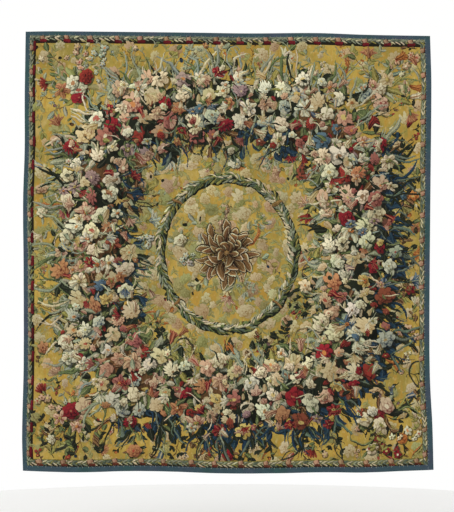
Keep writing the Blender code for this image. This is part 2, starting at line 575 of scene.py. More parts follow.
PALE_FLOWERS = ("cream", "apricot", "blush", "cream", "rosy", "white", "orange", "frost")
DEEP_FLOWERS = ("blush", "crimson", "red", "rosy", "orange", "red", "cream", "apricot", "blue", "russet")
PALE_GREENS = ("sage", "faint_leaf", "leaf", "sage", "faint_leaf", "olive")
DEEP_GREENS = ("ink", "leaf", "ink", "umber", "olive", "ink")


def spray_stem(design, base, turn, reach, share, bow):
    """The tip of a spray's stem, at a share of its reach, and how far its middle bows out."""
    return polar(base, turn, reach * share), reach * design.pick(-bow, bow)


def tulip_spray(design, base, turn, reach):
    tip, bend = spray_stem(design, base, turn, reach, 0.72, 0.12)
    for side in (-1, 1):
        length = reach * design.pick(0.5, 0.8)
        end = polar(base, turn + side * design.pick(0.25, 0.5), length)
        dye = design.one_of("teal", "olive", "sage", "leaf")
        design.blade(base, end, length * 0.07, dye, 1.0, side * -0.12 * length, 0.7, rib=0.14, veins=0)
    stem(design, base, tip, bend, "olive", half_width=0.0045)
    end_turn = on_bow(base, tip, bend, 1.0)[1]
    dye = design.one_of(*design.flowers)
    tulip(design, tip, end_turn, min(reach * 0.42, design.pick(0.07, 0.1)), dye)


def berry_spray(design, base, turn, reach):
    """A dark twig with round dark leaves and berries."""
    tip, bend = spray_stem(design, base, turn, reach, 1.0, 0.25)
    dye = design.one_of("ink", "navy", "red", "ink", "violet", "orange")
    stem(design, base, tip, bend, "brown", 0.7)
    for index in range(6):
        point, along = on_bow(base, tip, bend, 0.25 + 0.15 * index)
        side = (-1, 1)[index % 2]
        end = polar(point, along + side * 0.9, 0.034)
        if index % 3 == 2:
            stem(design, point, end, 0.004 * side, "brown", 0.8, half_width=0.0018)
            berry(design, end, design.pick(0.009, 0.013), dye)
        else:
            green = design.one_of(*design.greens)
            way = along + side * design.pick(0.5, 1.0)
            leaf(design, point, way, design.pick(0.045, 0.06), green, 1.0, design.pick(0.26, 0.33))


def bud_spray(design, base, turn, reach):
    tip, bend = spray_stem(design, base, turn, reach, 0.86, 0.25)
    dye = design.one_of(*design.flowers)
    end_turn = leafy_stem(design, base, tip, bend, design.greens, 0.055, 5)
    for share in (0.55, 0.78):
        point, along = on_bow(base, tip, bend, share)
        side = design.one_of(-1, 1)
        end = polar(point, along + side * 0.7, 0.045)
        stem(design, point, end, 0.006 * side, "leaf", half_width=0.002)
        bud(design, end, along + side * 0.4, 0.038, dye)
    bud(design, tip, end_turn, 0.05, dye)


def blossom_spray(design, base, turn, reach):
    tip, bend = spray_stem(design, base, turn, reach, 0.9, 0.2)
    dye = design.one_of(*design.flowers)
    leafy_stem(design, base, tip, bend, design.greens, 0.05, 5)
    for share, size in ((0.45, 0.02), (0.62, 0.022), (0.76, 0.025), (0.89, 0.022), (1.0, 0.028)):
        point, along = on_bow(base, tip, bend, share)
        side = design.one_of(-1, 1)
        place = polar(point, along + side * 1.3, 0.026 * (share < 1))
        blossom(design, place, size * design.pick(0.85, 1.2), dye)


def laurel_spray(design, base, turn, reach):
    tip, bend = spray_stem(design, base, turn, reach, 1.0, 0.3)
    end_turn = leafy_stem(design, base, tip, bend, design.greens, 0.052, 8, alternate=False)
    leaf(design, tip, end_turn, 0.05, design.greens[1])


def twig_spray(design, base, turn, reach):
    """A long thin twig with side twigs of three small leaves."""
    tip, bend = spray_stem(design, base, turn, reach, 1.0, 0.25)
    dye = design.one_of(*design.greens)
    stem(design, base, tip, bend, "umber", 0.7, 0.0022)
    for index in range(7):
        point, along = on_bow(base, tip, bend, 0.16 + 0.13 * index)
        way = along + (-1, 1)[index % 2] * design.pick(0.6, 0.95)
        end = polar(point, way, 0.03)
        stem(design, point, end, 0.003, "umber", 0.7, 0.0018)
        for spread in (-0.9, 0.9, 0.0):
            leaf(design, end, way + spread, design.pick(0.026, 0.04), dye, 1.0, 0.27)


def strap_leaves(design, base, turn, count, dyes, reach=(0.09, 0.19), width=(0.0032, 0.0062)):
    """Long narrow leaves that arch away from one point."""
    for _ in range(count):
        length = design.pick(*reach)
        tip = polar(base, turn + design.pick(-0.8, 0.8), length)
        bend = length * design.pick(-0.3, 0.3)
        half_width = design.pick(*width)
        design.plain_blade(base, tip, half_width, design.one_of(*dyes), 1.0, bend, taper=0.5)


def rose_spray(design, base, turn, reach):
    tip, bend = spray_stem(design, base, turn, reach, 0.75, 0.15)
    leafy_stem(design, base, tip, bend, design.greens, 0.06, 5)
    dye = design.one_of(*design.flowers)
    radius = min(reach * 0.28, design.pick(0.034, 0.048))
    leaves_round(design, tip, radius, 5, 0.05, design.greens)
    rose(design, tip, radius, dye)


def reed_spray(design, base, turn, reach):
    for index in range(5):
        spread = (index - 2) * 0.2 + design.pick(-0.07, 0.07)
        length = reach * design.pick(0.6, 1.0)
        end = polar(base, turn + spread, length)
        dye = design.one_of("orange", *design.greens)
        bend = -spread * length * 0.5
        design.blade(base, end, design.pick(0.006, 0.01), dye, 1.0, bend, taper=0.4, rib=0.15, veins=0)


def lily_spray(design, base, turn, reach):
    tip, bend = spray_stem(design, base, turn, reach, 0.7, 0.15)
    end_turn = leafy_stem(design, base, tip, bend, design.greens, 0.062, 4)
    dye = design.one_of(*design.flowers)
    lily(design, tip, end_turn, min(0.085, reach * 0.4), dye)


def clove_pink_spray(design, base, turn, reach):
    tip, bend = spray_stem(design, base, turn, reach, 0.75, 0.2)
    end_turn = leafy_stem(design, base, tip, bend, design.greens, 0.045, 6)
    dye = design.one_of("red", *design.flowers)
    clove_pink(design, tip, end_turn, min(0.06, reach * 0.35), dye)


def scroll_spray(design, base, turn, reach):
    dye = design.one_of(*design.greens)
    side = design.one_of(-1, 1)
    curl(design, base, turn - side * 0.5, reach * 0.8, "ink", side)
    curl(design, base, turn - side * 0.47, reach * 0.78, dye, side)
    curl(design, base, turn + side * 0.3, reach * 0.5, dye, -side)


SPRAYS = (
    tulip_spray,
    berry_spray,
    bud_spray,
    blossom_spray,
    laurel_spray,
    rose_spray,
    reed_spray,
    lily_spray,
    clove_pink_spray,
    scroll_spray,
    berry_spray,
    twig_spray,
    twig_spray,
)


# The garland


class Ring:
    """A closed band round the middle of the cloth, with scalloped edges."""

    def __init__(self, half_width, half_height, half_thickness, square, scallops, depth):
        self.half_width = half_width
        self.half_height = half_height
        self.half_thickness = half_thickness
        self.square = square
        self.scallops = scallops
        self.depth = depth

    def thickness(self, turn):
        return self.half_thickness * (1 + self.depth * math.cos(self.scallops * turn))

    def radius(self, turn):
        """Distance of the band's middle from the centre of the cloth."""
        across = abs(math.cos(turn)) / self.half_width
        up = abs(math.sin(turn)) / self.half_height
        return (across**self.square + up**self.square) ** (-1 / self.square)

    def outward(self, turn):
        """Direction that leads straight out of the band."""
        step = 0.01
        first = polar((0, 0), turn - step, self.radius(turn - step))
        second = polar((0, 0), turn + step, self.radius(turn + step))
        return math.atan2(second[1] - first[1], second[0] - first[0]) - math.pi / 2

    def side(self, at):
        """The share across the band, -1 at its inner edge and 1 at its outer edge, and the turn."""
        turn = math.atan2(at[1], at[0])
        slant = math.cos(self.outward(turn) - turn)
        return (math.hypot(*at) - self.radius(turn)) * slant / self.thickness(turn), turn

    def point(self, turn, side):
        middle = polar((0, 0), turn, self.radius(turn))
        return polar(middle, self.outward(turn), side * self.thickness(turn))

    def lit(self, side, turn):
        """About 1 on the side of the band that faces the woven light, and -1 on the other."""
        out = self.outward(turn)
        return side * (math.cos(out) * LIGHT_FROM[0] + math.sin(out) * LIGHT_FROM[1])


def scatter(rng, low, high, spacing, tries, allowed):
    """Seeded points between two corners, at least spacing apart, where allowed says so."""
    points = np.empty((0, 2))
    for _ in range(tries):
        at = (rng.uniform(low[0], high[0]), rng.uniform(low[1], high[1]))
        if len(points) and np.min(np.hypot(*(points - at).T)) < spacing:
            continue
        if allowed(at):
            points = np.vstack([points, at])
    return [tuple(point) for point in points]


# Flowers come in patches of like colours
PATCHES = (
    ("crimson", "cream", "rosy", "pink", "blush", "red"),
    ("cream", "white", "cream", "faded", "rosy", "white", "faded"),
    ("crimson", "apricot", "cream", "red", "ribbon", "rosy"),
    ("cream", "white", "faded", "cream", "yellow", "frost"),
    ("plum", "frost", "white", "faded", "cream", "blue"),
    ("cream", "rosy", "cream", "white", "apricot", "crimson"),
)


# Flowers on the shaded and on the lit side of a band
SHADED_DYES = ("crimson", "red", "crimson", "russet", "pink", "apricot", "rosy", "plum", "blush")
LIT_DYES = ("cream", "white", "cream", "blush", "cream", "faded")


def flower_dye(design, at, lit):
    """A dye for a flower: the patch's own, paler on the lit side of a band and deeper on the other."""
    x, z = np.array([at[0]]), np.array([at[1]])
    first = plane_waves(SEED + 8, x, z, shortest=0.35, longest=0.9, count=6)[0]
    patch = PATCHES[int((first + 2) * 3.1) % len(PATCHES)]
    chance = design.pick(0, 1)
    if lit < -0.25 and chance < 0.5:
        return design.one_of(*SHADED_DYES)
    if lit > 0.2 and chance < (0.4 if at[0] < -0.5 else 0.62):
        return design.one_of(*LIT_DYES)
    return design.one_of(*patch)


def leaf_dye(design, lit):
    if lit > 0.25:
        return design.one_of("olive", "leaf", "ink", "sage", "ink", "sage")
    if lit < -0.2:
        return design.one_of("navy", "ink", "ink", "ink", "umber", "leaf")
    return design.one_of("leaf", "ink", "sage", "ink", "umber", "leaf")


def garland(design, ring):
    """The dense band of mixed flowers: leaves below, then large flowers, then small ones on top."""
    high = (ring.half_width * 1.6, ring.half_height * 1.6)
    low = (-high[0], -high[1])

    def places(spacing, tries, margin):
        for at in scatter(design.rng, low, high, spacing, tries, lambda at: abs(ring.side(at)[0]) < margin):
            side, turn = ring.side(at)
            yield at, side, turn, ring.lit(side, turn)

    pieces = 44
    for index in range(pieces):
        turn = index * math.tau / pieces
        start, end = ring.point(turn - 0.04, 0.0), ring.point(turn + math.tau / pieces + 0.04, 0.0)
        dye = design.one_of("ink", "ink", "umber")
        design.plain_blade(start, end, ring.thickness(turn) * 0.66, dye, 0.8, taper=0.1)
    for at, side, turn, lit in places(0.042, 8000, 0.98):
        out = ring.outward(turn) + (math.pi if side < 0 else 0.0)
        for _ in range(2):
            way = out + design.pick(-1.3, 1.3)
            slim = design.pick(0.17, 0.3)
            teeth = design.one_of(0.0, 0.0, 0.14)
            length = design.pick(0.055, 0.1)
            leaf(design, at, way, length, leaf_dye(design, lit), 1 + 0.15 * lit, slim, teeth)
    for at, side, turn, lit in places(0.034, 7000, 1.04):
        if lit < -0.35:
            way = SHADE_TURN + design.pick(-1.0, 1.0)
            cool = at[0] > 0 or at[1] < 0
            dye = design.one_of("navy", "ink", "navy") if cool else design.one_of("ink", "umber")
            leaf(design, at, way, design.pick(0.05, 0.09), dye, 0.9, design.pick(0.16, 0.28))
        elif abs(side) < 0.85:
            way = design.pick(0, math.tau)
            dye = flower_dye(design, at, lit)
            leaf(design, at, way, design.pick(0.035, 0.06), dye, 0.84 + 0.2 * lit, design.pick(0.2, 0.34))
    for at, side, turn, lit in places(0.085, 6000, 0.95):
        out = ring.outward(turn) + (math.pi if side < 0 else 0.0)
        dyes = ("sage", "cream", "sky", "leaf", "sage", "ink") if lit > -0.2 else ("navy", "ink", "teal")
        strap_leaves(design, at, out, 3, dyes)
        if side > 0.5:
            strap_leaves(design, at, out, 2, dyes, reach=(0.14, 0.24), width=(0.006, 0.010))
    for at, side, turn, lit in places(0.086, 8000, 0.9):
        kind = design.one_of(rose, rose, peony, carnation, anemone, star_flower, star_flower)
        if lit < -0.5 and design.pick(0, 1) < 0.4:
            continue
        kind(design, at, design.pick(0.040, 0.066), flower_dye(design, at, lit), 1.0 + 0.26 * lit)
        way = design.pick(0, math.tau)
        strap_leaves(design, at, way, 1, ("sage", "cream", "ink", "leaf"), reach=(0.07, 0.12))
    for at, side, turn, lit in places(0.070, 9000, 0.99):
        kind = int(design.rng.integers(9))
        dye = flower_dye(design, at, lit)
        shade = 0.98 + 0.26 * lit
        way = design.pick(0, math.tau)
        if kind < 2:
            tulip(design, at, way, design.pick(0.055, 0.09), dye, shade)
        elif kind == 2:
            star_flower(design, at, 0.034, dye, shade)
        elif kind == 3:
            leaf(design, at, way, design.pick(0.04, 0.075), leaf_dye(design, lit), shade)
        elif kind == 4:
            clove_pink(design, at, way, 0.040, dye, shade)
        elif kind == 5:
            leaf(design, at, way, design.pick(0.035, 0.06), leaf_dye(design, lit), shade, slim=0.28)
        elif kind == 6:
            lily(design, at, way, design.pick(0.05, 0.075), dye, shade)
        else:
            rose(design, at, design.pick(0.020, 0.032), dye, shade)


def sprays_from(design, ring, side, count, room, reach):
    """Sprays that grow out of one side of the garland, as far as room lets them."""
    for index in range(count):
        turn = (index + design.pick(0.2, 0.8)) * math.tau / count
        base = ring.point(turn, side * 0.8)
        way = ring.outward(turn) + (0 if side > 0 else math.pi) + design.pick(-0.6, 0.6)
        design.face_light(ring.lit(1, turn))
        length = min(room(base, way), design.pick(*reach))
        if length > 0.12:
            design.one_of(*SPRAYS)(design, base, way, length)


def corner_bouquet(design, at, way, room):
    """A bouquet that fans out into a corner of the cloth."""
    design.face_light(math.cos(way) * LIGHT_FROM[0] + math.sin(way) * LIGHT_FROM[1])
    for index in range(9):
        turn = way + (index - 4) * 0.34 + design.pick(-0.1, 0.1)
        reach = min(room(at, turn), design.pick(0.24, 0.42))
        if reach > 0.1:
            design.one_of(*SPRAYS)(design, at, turn, reach)
    leaves_round(design, at, 0.07, 8, 0.09, design.greens)
    for index in range(5):
        place = polar(at, index * 2.4, 0.036 * math.sqrt(index * 2))
        kind = design.one_of(rose, peony, anemone, star_flower)
        kind(design, place, design.pick(0.042, 0.06), flower_dye(design, place, 0.0))


def faded_flowers(design, places):
    """Pale flowers that hardly stand out from the gold ground."""
    for at in places:
        petals, rows = design.one_of((5, 3), (6, 2), (8, 3), (6, 3))
        dye = design.one_of("faded", "faded_pink", "faded", "faint_leaf", "faded")
        shade = design.pick(0.85, 1.05)
        radius = design.pick(0.024, 0.054)
        design.rosette(at, radius, -petals, rows, 0.66, 0.15, dye, shade, design.pick(-0.3, 0.3))


def faint_leaves(design, places):
    """Small leafy stems in a green near the gold of the ground."""
    for at in places:
        turn = design.pick(0, math.tau)
        base, tip = polar(at, turn, -0.03), polar(at, turn, 0.03)
        shade = design.pick(0.85, 1.1)
        leafy_stem(design, base, tip, design.pick(-0.015, 0.015), ("faint_leaf",), 0.036, 4, shade)


def sprig(design, at):
    """A small loose sprig for an open patch of ground."""
    turn = design.pick(0, math.tau)
    base = polar(at, turn, -0.035)
    tip = polar(at, turn, 0.03)
    central = math.hypot(*at) < 0.42
    design.face_light(design.pick(-0.4, 0.4) + at[0] * LIGHT_FROM[0] + at[1] * LIGHT_FROM[1] + central)
    dye = design.one_of(*design.flowers)
    kind = int(design.rng.integers(5))
    leafy_stem(design, base, tip, design.pick(-0.012, 0.012), design.greens, 0.034, 3)
    if kind == 0:
        bud(design, tip, turn, 0.03, dye)
    elif kind == 1:
        blossom(design, tip, 0.02, dye)
    elif kind == 2:
        blossom_cluster(design, tip, 0.026, dye, count=4)
    elif kind == 3:
        for side in (-1, 1):
            leaf(design, tip, turn + side * 0.5, 0.045, design.one_of(*design.greens), slim=0.28)
    else:
        berry(design, tip, 0.011, design.one_of(dye, "umber"))


# The wreath and the medallion in the middle


def laurel_rope(design, ring, leaf_size, ties):
    """A rope of overlapping laurel leaves that follows a ring, tied with ribbon."""
    pieces = 56
    for index in range(pieces):
        turn = index * math.tau / pieces
        ahead = turn + math.tau / pieces * 1.15
        start = polar(ring.point(turn - 0.02, 0), SHADE_TURN, 0.006)
        end = polar(ring.point(ahead, 0), SHADE_TURN, 0.006)
        design.plain_blade(start, end, ring.half_thickness * 1.02, "ink", taper=0.06)
    radius = (ring.half_width + ring.half_height) / 2
    steps = int(math.tau * radius / (leaf_size * 0.5))
    for index in range(steps):
        turn = index * math.tau / steps
        for side in (-1, 1, -0.4, 0.4):
            start = ring.point(turn + design.pick(-0.02, 0.02), side * design.pick(0.0, 0.4))
            ahead = turn + leaf_size / radius * design.pick(0.7, 1.0)
            end = ring.point(ahead, side * design.pick(0.8, 1.15))
            lit = ring.lit(side, turn)
            dye = design.one_of("cream", "sage", "olive", "leaf", "cream", "sage")
            if lit < -0.1:
                dye = design.one_of("sage", "olive", "leaf", "ink", "teal", "leaf")
            bend = design.pick(-0.003, 0.003)
            half_width = leaf_size * design.pick(0.11, 0.17)
            design.plain_blade(start, end, half_width, dye, 0.98 + 0.14 * lit, bend, taper=0.6)
    for turn in ties:
        start, end = ring.point(turn, -1.0), ring.point(turn, 1.0)
        design.plain_blade(start, end, 0.010, "brown", 0.9, taper=0.2)


def medallion(design, radius):
    """A many-petalled flower in browns, each petal edged in cream."""
    design.rosette((0, 0), radius * 0.62, 14, 1, 0.3, 0.0, "umber", 0.35)
    for petals, inner, outer, slim in (
        (15, 0.30, 1.04, 0.130),
        (13, 0.20, 0.84, 0.130),
        (10, 0.08, 0.62, 0.125),
        (8, 0.00, 0.40, 0.105),
    ):
        start = design.pick(0, math.tau)
        for index in range(petals):
            turn = start + index * math.tau / petals + design.pick(-0.08, 0.08)
            reach = radius * outer * design.pick(0.85, 1.12)
            base = polar((0, 0), turn, radius * inner)
            tip = polar((0, 0), turn + design.pick(-0.12, 0.12), reach)
            bend = design.pick(-0.03, 0.03)
            half_width = radius * slim * design.pick(0.8, 1.15)
            for grown, dye, shade, end, light in (
                (1.26, "umber", 0.3, 0.005, 0.0),
                (1.02, "cream", 0.9, 0.0, 1.6),
                (0.84, "brown", 0.85, -0.005, 1.6),
                (0.64, "umber", 0.8, -0.012, 1.5),
            ):
                point = polar(tip, turn, end)
                design.blade(
                    base, point, half_width * grown, dye, shade, bend,
                    teeth=0.05, rib=0.04, veins=0, tip_light=light,
                )
    design.rosette((0, 0), radius * 0.12, 7, 2, 0.5, 0.18, "brown", 1.0)


# The braided border

RIBBON_PITCH = 0.156
LEAVES_PER_RIBBON = 5

# One side of the border. It is pale on the lit edge, up to the share pale of its width, and the lower
# block of its ribbons has the dye knot and the length block.
BorderSide = namedtuple("BorderSide", "start along across length width pale knot block")


def border_sides(sizes):
    top_border, bottom_border, left_border, right_border = sizes.border
    (x_left, z_bottom), (x_right, z_top) = inset(sizes, sizes.galloon)
    across, down = x_right - x_left, z_top - z_bottom
    upright, lowered = math.pi / 2, -math.pi / 2
    bottom_start = (x_left, z_bottom + bottom_border)
    right_start = (x_right - right_border, z_bottom)
    return (
        BorderSide(bottom_start, 0.0, lowered, across, bottom_border, 0.62, "russet", 0.040),
        BorderSide((x_left, z_bottom), upright, 0.0, down, left_border, 0.38, "crimson", 0.064),
        BorderSide(right_start, upright, 0.0, down, right_border, 0.8, "russet", 0.034),
        BorderSide((x_left, z_top), 0.0, lowered, across, top_border, 0.42, "crimson", 0.046),
    )


def braided_border(design, sizes):
    """Laurel leaves in two rows, bound by ribbons, pale on the lit edge and dark on the other."""
    for start, along, across, length, width, pale, knot, block in border_sides(sizes):

        def at(distance, share):
            return polar(polar(start, along, distance), across, share * width)

        def band(first, last, dye, shade):
            middle = (first + last) / 2
            half_width = (last - first) / 2 * width
            design.plain_blade(at(0, middle), at(length, middle), half_width, dye, shade, taper=0.01)

        ribbons = round(length / RIBBON_PITCH)
        pitch = length / ribbons
        gap = "ink" if pale < 0.5 else "olive"
        edge = "sage" if pale < 0.5 else "olive"
        second = "leaf" if pale < 0.4 else "cream"
        band(0.0, pale + 0.16, "sage", 0.5)
        band(0.0, 0.13, edge, 0.85)
        for step in range(ribbons * LEAVES_PER_RIBBON):
            distance = (step + 0.5 + design.pick(-0.1, 0.1)) / LEAVES_PER_RIBBON * pitch
            base, tip = at(distance + 0.028, 0.2), at(distance - 0.004, pale + 0.2)
            design.plain_blade(base, tip, 0.0026, gap, 0.9, taper=0.6)
            dye = design.one_of("sage", second, "teal", "sage", second, "olive")
            base = at(distance + 0.018, min(pale + 0.27, 0.93))
            tip = at(distance - 0.016, pale * 0.6 + 0.12)
            design.plain_blade(base, tip, 0.0044, dye, 0.95, taper=0.6)
            dye = design.one_of("sage", second, "sage", "teal", "cream", "sage")
            base, tip = at(distance + 0.021, 0.12), at(distance - 0.017, pale * 0.55 + 0.1)
            design.plain_blade(base, tip, 0.0046, dye, 1.0, taper=0.6)
        turned = max(0.5, pale - 0.05)
        for ribbon in range(ribbons):
            middle = (ribbon + 0.5 + design.pick(-0.08, 0.08)) * pitch
            half = design.pick(0.012, 0.017)
            base, tip = at(middle - 0.006, 0.03), at(middle + 0.002, turned)
            design.plain_blade(base, tip, half + 0.004, "brown", 0.5, taper=0.03)
            shade = design.pick(0.75, 0.95)
            design.plain_blade(base, tip, half, "ribbon", shade, taper=0.03, tip_light=-0.4)
            middle += design.pick(0.002, 0.009)
            share = (turned + 0.99) / 2
            base, tip = at(middle - block / 2, share), at(middle + block / 2, share)
            half = (0.99 - turned) / 2 * width
            design.plain_blade(base, tip, half, knot, design.pick(0.4, 0.7), taper=0.04)


def make_design(sizes, colours):
    """The whole design, from the lowest motif to the topmost."""
    design = Design(colours, SEED)
    low, high = inset(sizes, [galloon + border for galloon, border in zip(sizes.galloon, sizes.border)])
    ring = Ring(*sizes.garland, square=3.4, scallops=12, depth=0.13)
    wreath = Ring(*sizes.wreath, square=2.0, scallops=0, depth=0.0)

    def room_outside(base, way):
        """How far a spray can reach before it meets the border."""
        steps = np.arange(0.02, 0.7, 0.01)
        x = base[0] + np.cos(way) * steps
        z = base[1] + np.sin(way) * steps
        blocked = (x < low[0]) | (x > high[0]) | (z < low[1]) | (z > high[1])
        return float(steps[blocked.argmax()]) if blocked.any() else 0.7

    def room_inside(base, way):
        """How far a spray can reach before it meets the wreath."""
        for step in np.arange(0.02, 0.7, 0.01):
            if wreath.side(polar(base, way, step))[0] < 1.6:
                return float(step)
        return 0.7

    def open_ground(gap):
        """A test for ground that is neither in the garland nor near a motif."""
        centres = design.table()[:, [FIELD["x"], FIELD["z"]]]
        return lambda at: abs(ring.side(at)[0]) > 0.95 and np.min(np.hypot(*(centres - at).T)) > gap

    def outside(at):
        return abs(ring.side(at)[0]) > 0.9

    def inside(at):
        return ring.side(at)[0] < -0.7

    faint_leaves(design, scatter(design.rng, low, high, 0.050, 12000, inside))
    faint_leaves(design, scatter(design.rng, low, high, 0.105, 2400, outside))
    faded_flowers(design, scatter(design.rng, low, high, 0.095, 2400, outside))
    faded_flowers(design, scatter(design.rng, low, high, 0.082, 4000, inside))
    sprays_from(design, ring, 1, 62, room_outside, (0.20, 0.32))
    sprays_from(design, ring, -1, 52, room_inside, (0.16, 0.28))
    for corner_x, side_x in ((low[0], 1), (high[0], -1)):
        for corner_z, side_z in ((low[1], 1), (high[1], -1)):
            at = (corner_x + side_x * 0.27, corner_z + side_z * 0.28)
            corner_bouquet(design, at, math.atan2(-side_z, -side_x), room_outside)
    design.face_light(-1.0)
    for index in range(13):
        share = (index + design.pick(0.2, 0.8)) / 13
        base = (low[0] + (high[0] - low[0]) * share, low[1] + 0.01)
        way = math.pi / 2 + design.pick(-0.9, 0.9)
        design.one_of(*SPRAYS)(design, base, way, design.pick(0.14, 0.24))
        base = (high[0] - 0.01, low[1] + (high[1] - low[1]) * 0.94 * share)
        way = math.pi * 0.75 + design.pick(-0.7, 0.7)
        design.one_of(*SPRAYS)(design, base, way, design.pick(0.12, 0.2))
    for at in scatter(design.rng, low, high, 0.068, 7000, open_ground(0.038)):
        sprig(design, at)
    garland(design, ring)
    laurel_rope(design, wreath, 0.046, [math.pi / 4 + index * math.pi / 2 for index in range(4)])
    for index in range(12):
        turn = (index + design.pick(0.3, 0.7)) * math.tau / 12
        base = polar((0, 0), turn, sizes.medallion * 0.7)
        design.one_of(*SPRAYS)(design, base, turn + design.pick(-0.6, 0.6), design.pick(0.16, 0.22))
    medallion(design, sizes.medallion)
    braided_border(design, sizes)
    return design.table()


# Which motifs each cell of the cloth shows


def local_points(motif, x, z):
    """Flat points in a motif's own coordinates, where it reaches from -1 to 1."""
    dx = x - motif[FIELD["x"]]
    dz = z - motif[FIELD["z"]]
    cosine, sine = motif[FIELD["cosine"]], motif[FIELD["sine"]]
    along = (dx * cosine + dz * sine) / motif[FIELD["half_length"]]
    up = (dz * cosine - dx * sine) / motif[FIELD["half_width"]]
    return along, up


def depth_inside(motif, along, up):
    """How far inside a motif's outline its own points lie; negative outside."""
    count, steps, cut, _, lean, bend = motif[FIELD["count"] : FIELD["bend"] + 1]
    if motif[0] == ROSETTE:
        shifted = along + lean * (1 - np.minimum(along**2 + up**2, 1.0))
        radius = np.hypot(shifted, up)
        angle = np.arctan2(up, shifted) * count / 2 + bend + radius * twist_of(bend)
        lobe = np.abs(np.cos(angle)) if steps % 2 else np.abs(np.sin(angle))
        return 1 - cut * (1 - lobe) / steps - radius
    bow = np.clip(1 - along**2, 0.0, None)
    return bow**steps * (1 - cut * 0.5) - np.abs(up - bend * (1 - along**2)) - (np.abs(along) > 1)


def twist_of(phase):
    """How far a flower's petals twist from its heart to its rim."""
    return (phase - math.pi / 2) * 0.7


def shadow_inside(motif, along, up):
    """How far inside a motif's woven shadow its own points lie."""
    if motif[0] == BLADE:
        return np.full_like(along, -9.0)
    return SHADOW_RADIUS - np.hypot(along - SHADOW_SHIFT, up)


def cells_of_motif(motif, lines_x, lines_z):
    """The range of cells that a motif may reach."""
    bow = motif[FIELD["bend"]] if motif[0] == BLADE else SHADOW_SHIFT
    up = (1 + abs(bow)) * abs(motif[FIELD["half_width"]])
    reach = math.hypot(motif[FIELD["half_length"]], up) + 0.01
    x, z = motif[FIELD["x"]], motif[FIELD["z"]]
    columns = np.searchsorted(lines_x, (x - reach, x + reach)) + (-1, 0)
    rows = np.searchsorted(lines_z, (z - reach, z + reach)) + (-1, 0)
    columns = np.clip(columns, 0, len(lines_x) - 1)
    rows = np.clip(rows, 0, len(lines_z) - 1)
    return columns[0], columns[1], rows[0], rows[1]


def sort_into_layers(motifs, corners, lines_x, lines_z):
    """The numbers of the topmost motifs that show in each cell, and -1 where a layer is empty."""
    columns, rows = len(lines_x) - 1, len(lines_z) - 1
    shares = (np.arange(CELL_TESTS) + 0.5) / CELL_TESTS
    tests = np.stack(np.meshgrid(shares, shares, indexing="ij"), -1).reshape(-1, 2)
    tests = np.vstack([tests, [(0, 0), (0, 1), (1, 0), (1, 1)]])
    covered = np.zeros((columns, rows, len(tests)), bool)
    used = np.zeros((columns, rows), int)
    chosen = np.full((columns, rows, LAYERS), -1)
    missed = 0
    for number in range(len(motifs) - 1, -1, -1):
        motif = motifs[number]
        c0, c1, r0, r1 = cells_of_motif(motif, lines_x, lines_z)
        if c0 >= c1 or r0 >= r1:
            continue
        low, right = corners[c0:c1, r0:r1], corners[c0 + 1 : c1 + 1, r0:r1]
        above, far = corners[c0:c1, r0 + 1 : r1 + 1], corners[c0 + 1 : c1 + 1, r0 + 1 : r1 + 1]
        s, t = tests[:, 0, None], tests[:, 1, None]
        spots = (
            low[:, :, None] * (1 - s) * (1 - t)
            + right[:, :, None] * s * (1 - t)
            + above[:, :, None] * (1 - s) * t
            + far[:, :, None] * s * t
        )
        along, up = local_points(motif, spots[..., 0], spots[..., 1])
        depth = depth_inside(motif, along, up)
        reach = np.maximum(depth, shadow_inside(motif, along, up))
        slack = SLACK / abs(motif[FIELD["half_width"]])
        shows = ((reach > -slack) & ~covered[c0:c1, r0:r1]).any(axis=-1)
        free = used[c0:c1, r0:r1] < LAYERS
        missed += int((shows & ~free).sum())
        cells = np.argwhere(shows & free)
        if not len(cells):
            continue
        i, j = cells[:, 0] + c0, cells[:, 1] + r0
        chosen[i, j, LAYERS - 1 - used[i, j]] = number
        used[i, j] += 1
        covered[i, j] |= depth[cells[:, 0], cells[:, 1]] > slack
    print(f"motifs: {len(motifs)}; cells: {columns * rows}")
    print(f"layers used at most: {used.max()}; left out: {missed}")
    return chosen


# Node trees


class Wire:
    """A value in a node tree. Arithmetic on wires adds Math nodes."""

    def __init__(self, tree, socket):
        self.tree = tree
        self.socket = socket

    def math(self, operation, *others):
        node = self.tree.nodes.new("ShaderNodeMath")
        node.operation = operation
        for place, value in enumerate((self, *others)):
            plug(self.tree, value, node.inputs[place])
        return Wire(self.tree, node.outputs[0])

    def __add__(self, other):
        return self.math("ADD", other)

    __radd__ = __add__

    def __sub__(self, other):
        return self.math("SUBTRACT", other)

    def __rsub__(self, other):
        return (self * -1.0).math("ADD", other)

    def __mul__(self, other):
        return self.math("MULTIPLY", other)

    __rmul__ = __mul__

    def __truediv__(self, other):
        return self.math("DIVIDE", other)

    def size(self):
        return self.math("ABSOLUTE")

    def over(self, other):
        return self.math("GREATER_THAN", other)

    def under(self, other):
        return self.math("LESS_THAN", other)

    def rise(self, low, high):
        """0 below low, 1 above high, and an easy curve between them."""
        node = self.tree.nodes.new("ShaderNodeMapRange")
        node.interpolation_type = "SMOOTHSTEP"
        node.clamp = False
        plug(self.tree, self, node.inputs["Value"])
        plug(self.tree, low, node.inputs["From Min"])
        plug(self.tree, high, node.inputs["From Max"])
        return Wire(self.tree, node.outputs["Result"])


def plug(tree, value, socket):
    if isinstance(value, Wire):
        tree.links.new(value.socket, socket)
    else:
        socket.default_value = value


def mix(share, low, high):
    """A number between two others."""
    tree = share.tree
    node = tree.nodes.new("ShaderNodeMix")
    plug(tree, share, node.inputs[0])
    plug(tree, low, node.inputs[2])
    plug(tree, high, node.inputs[3])
    return Wire(tree, node.outputs[0])


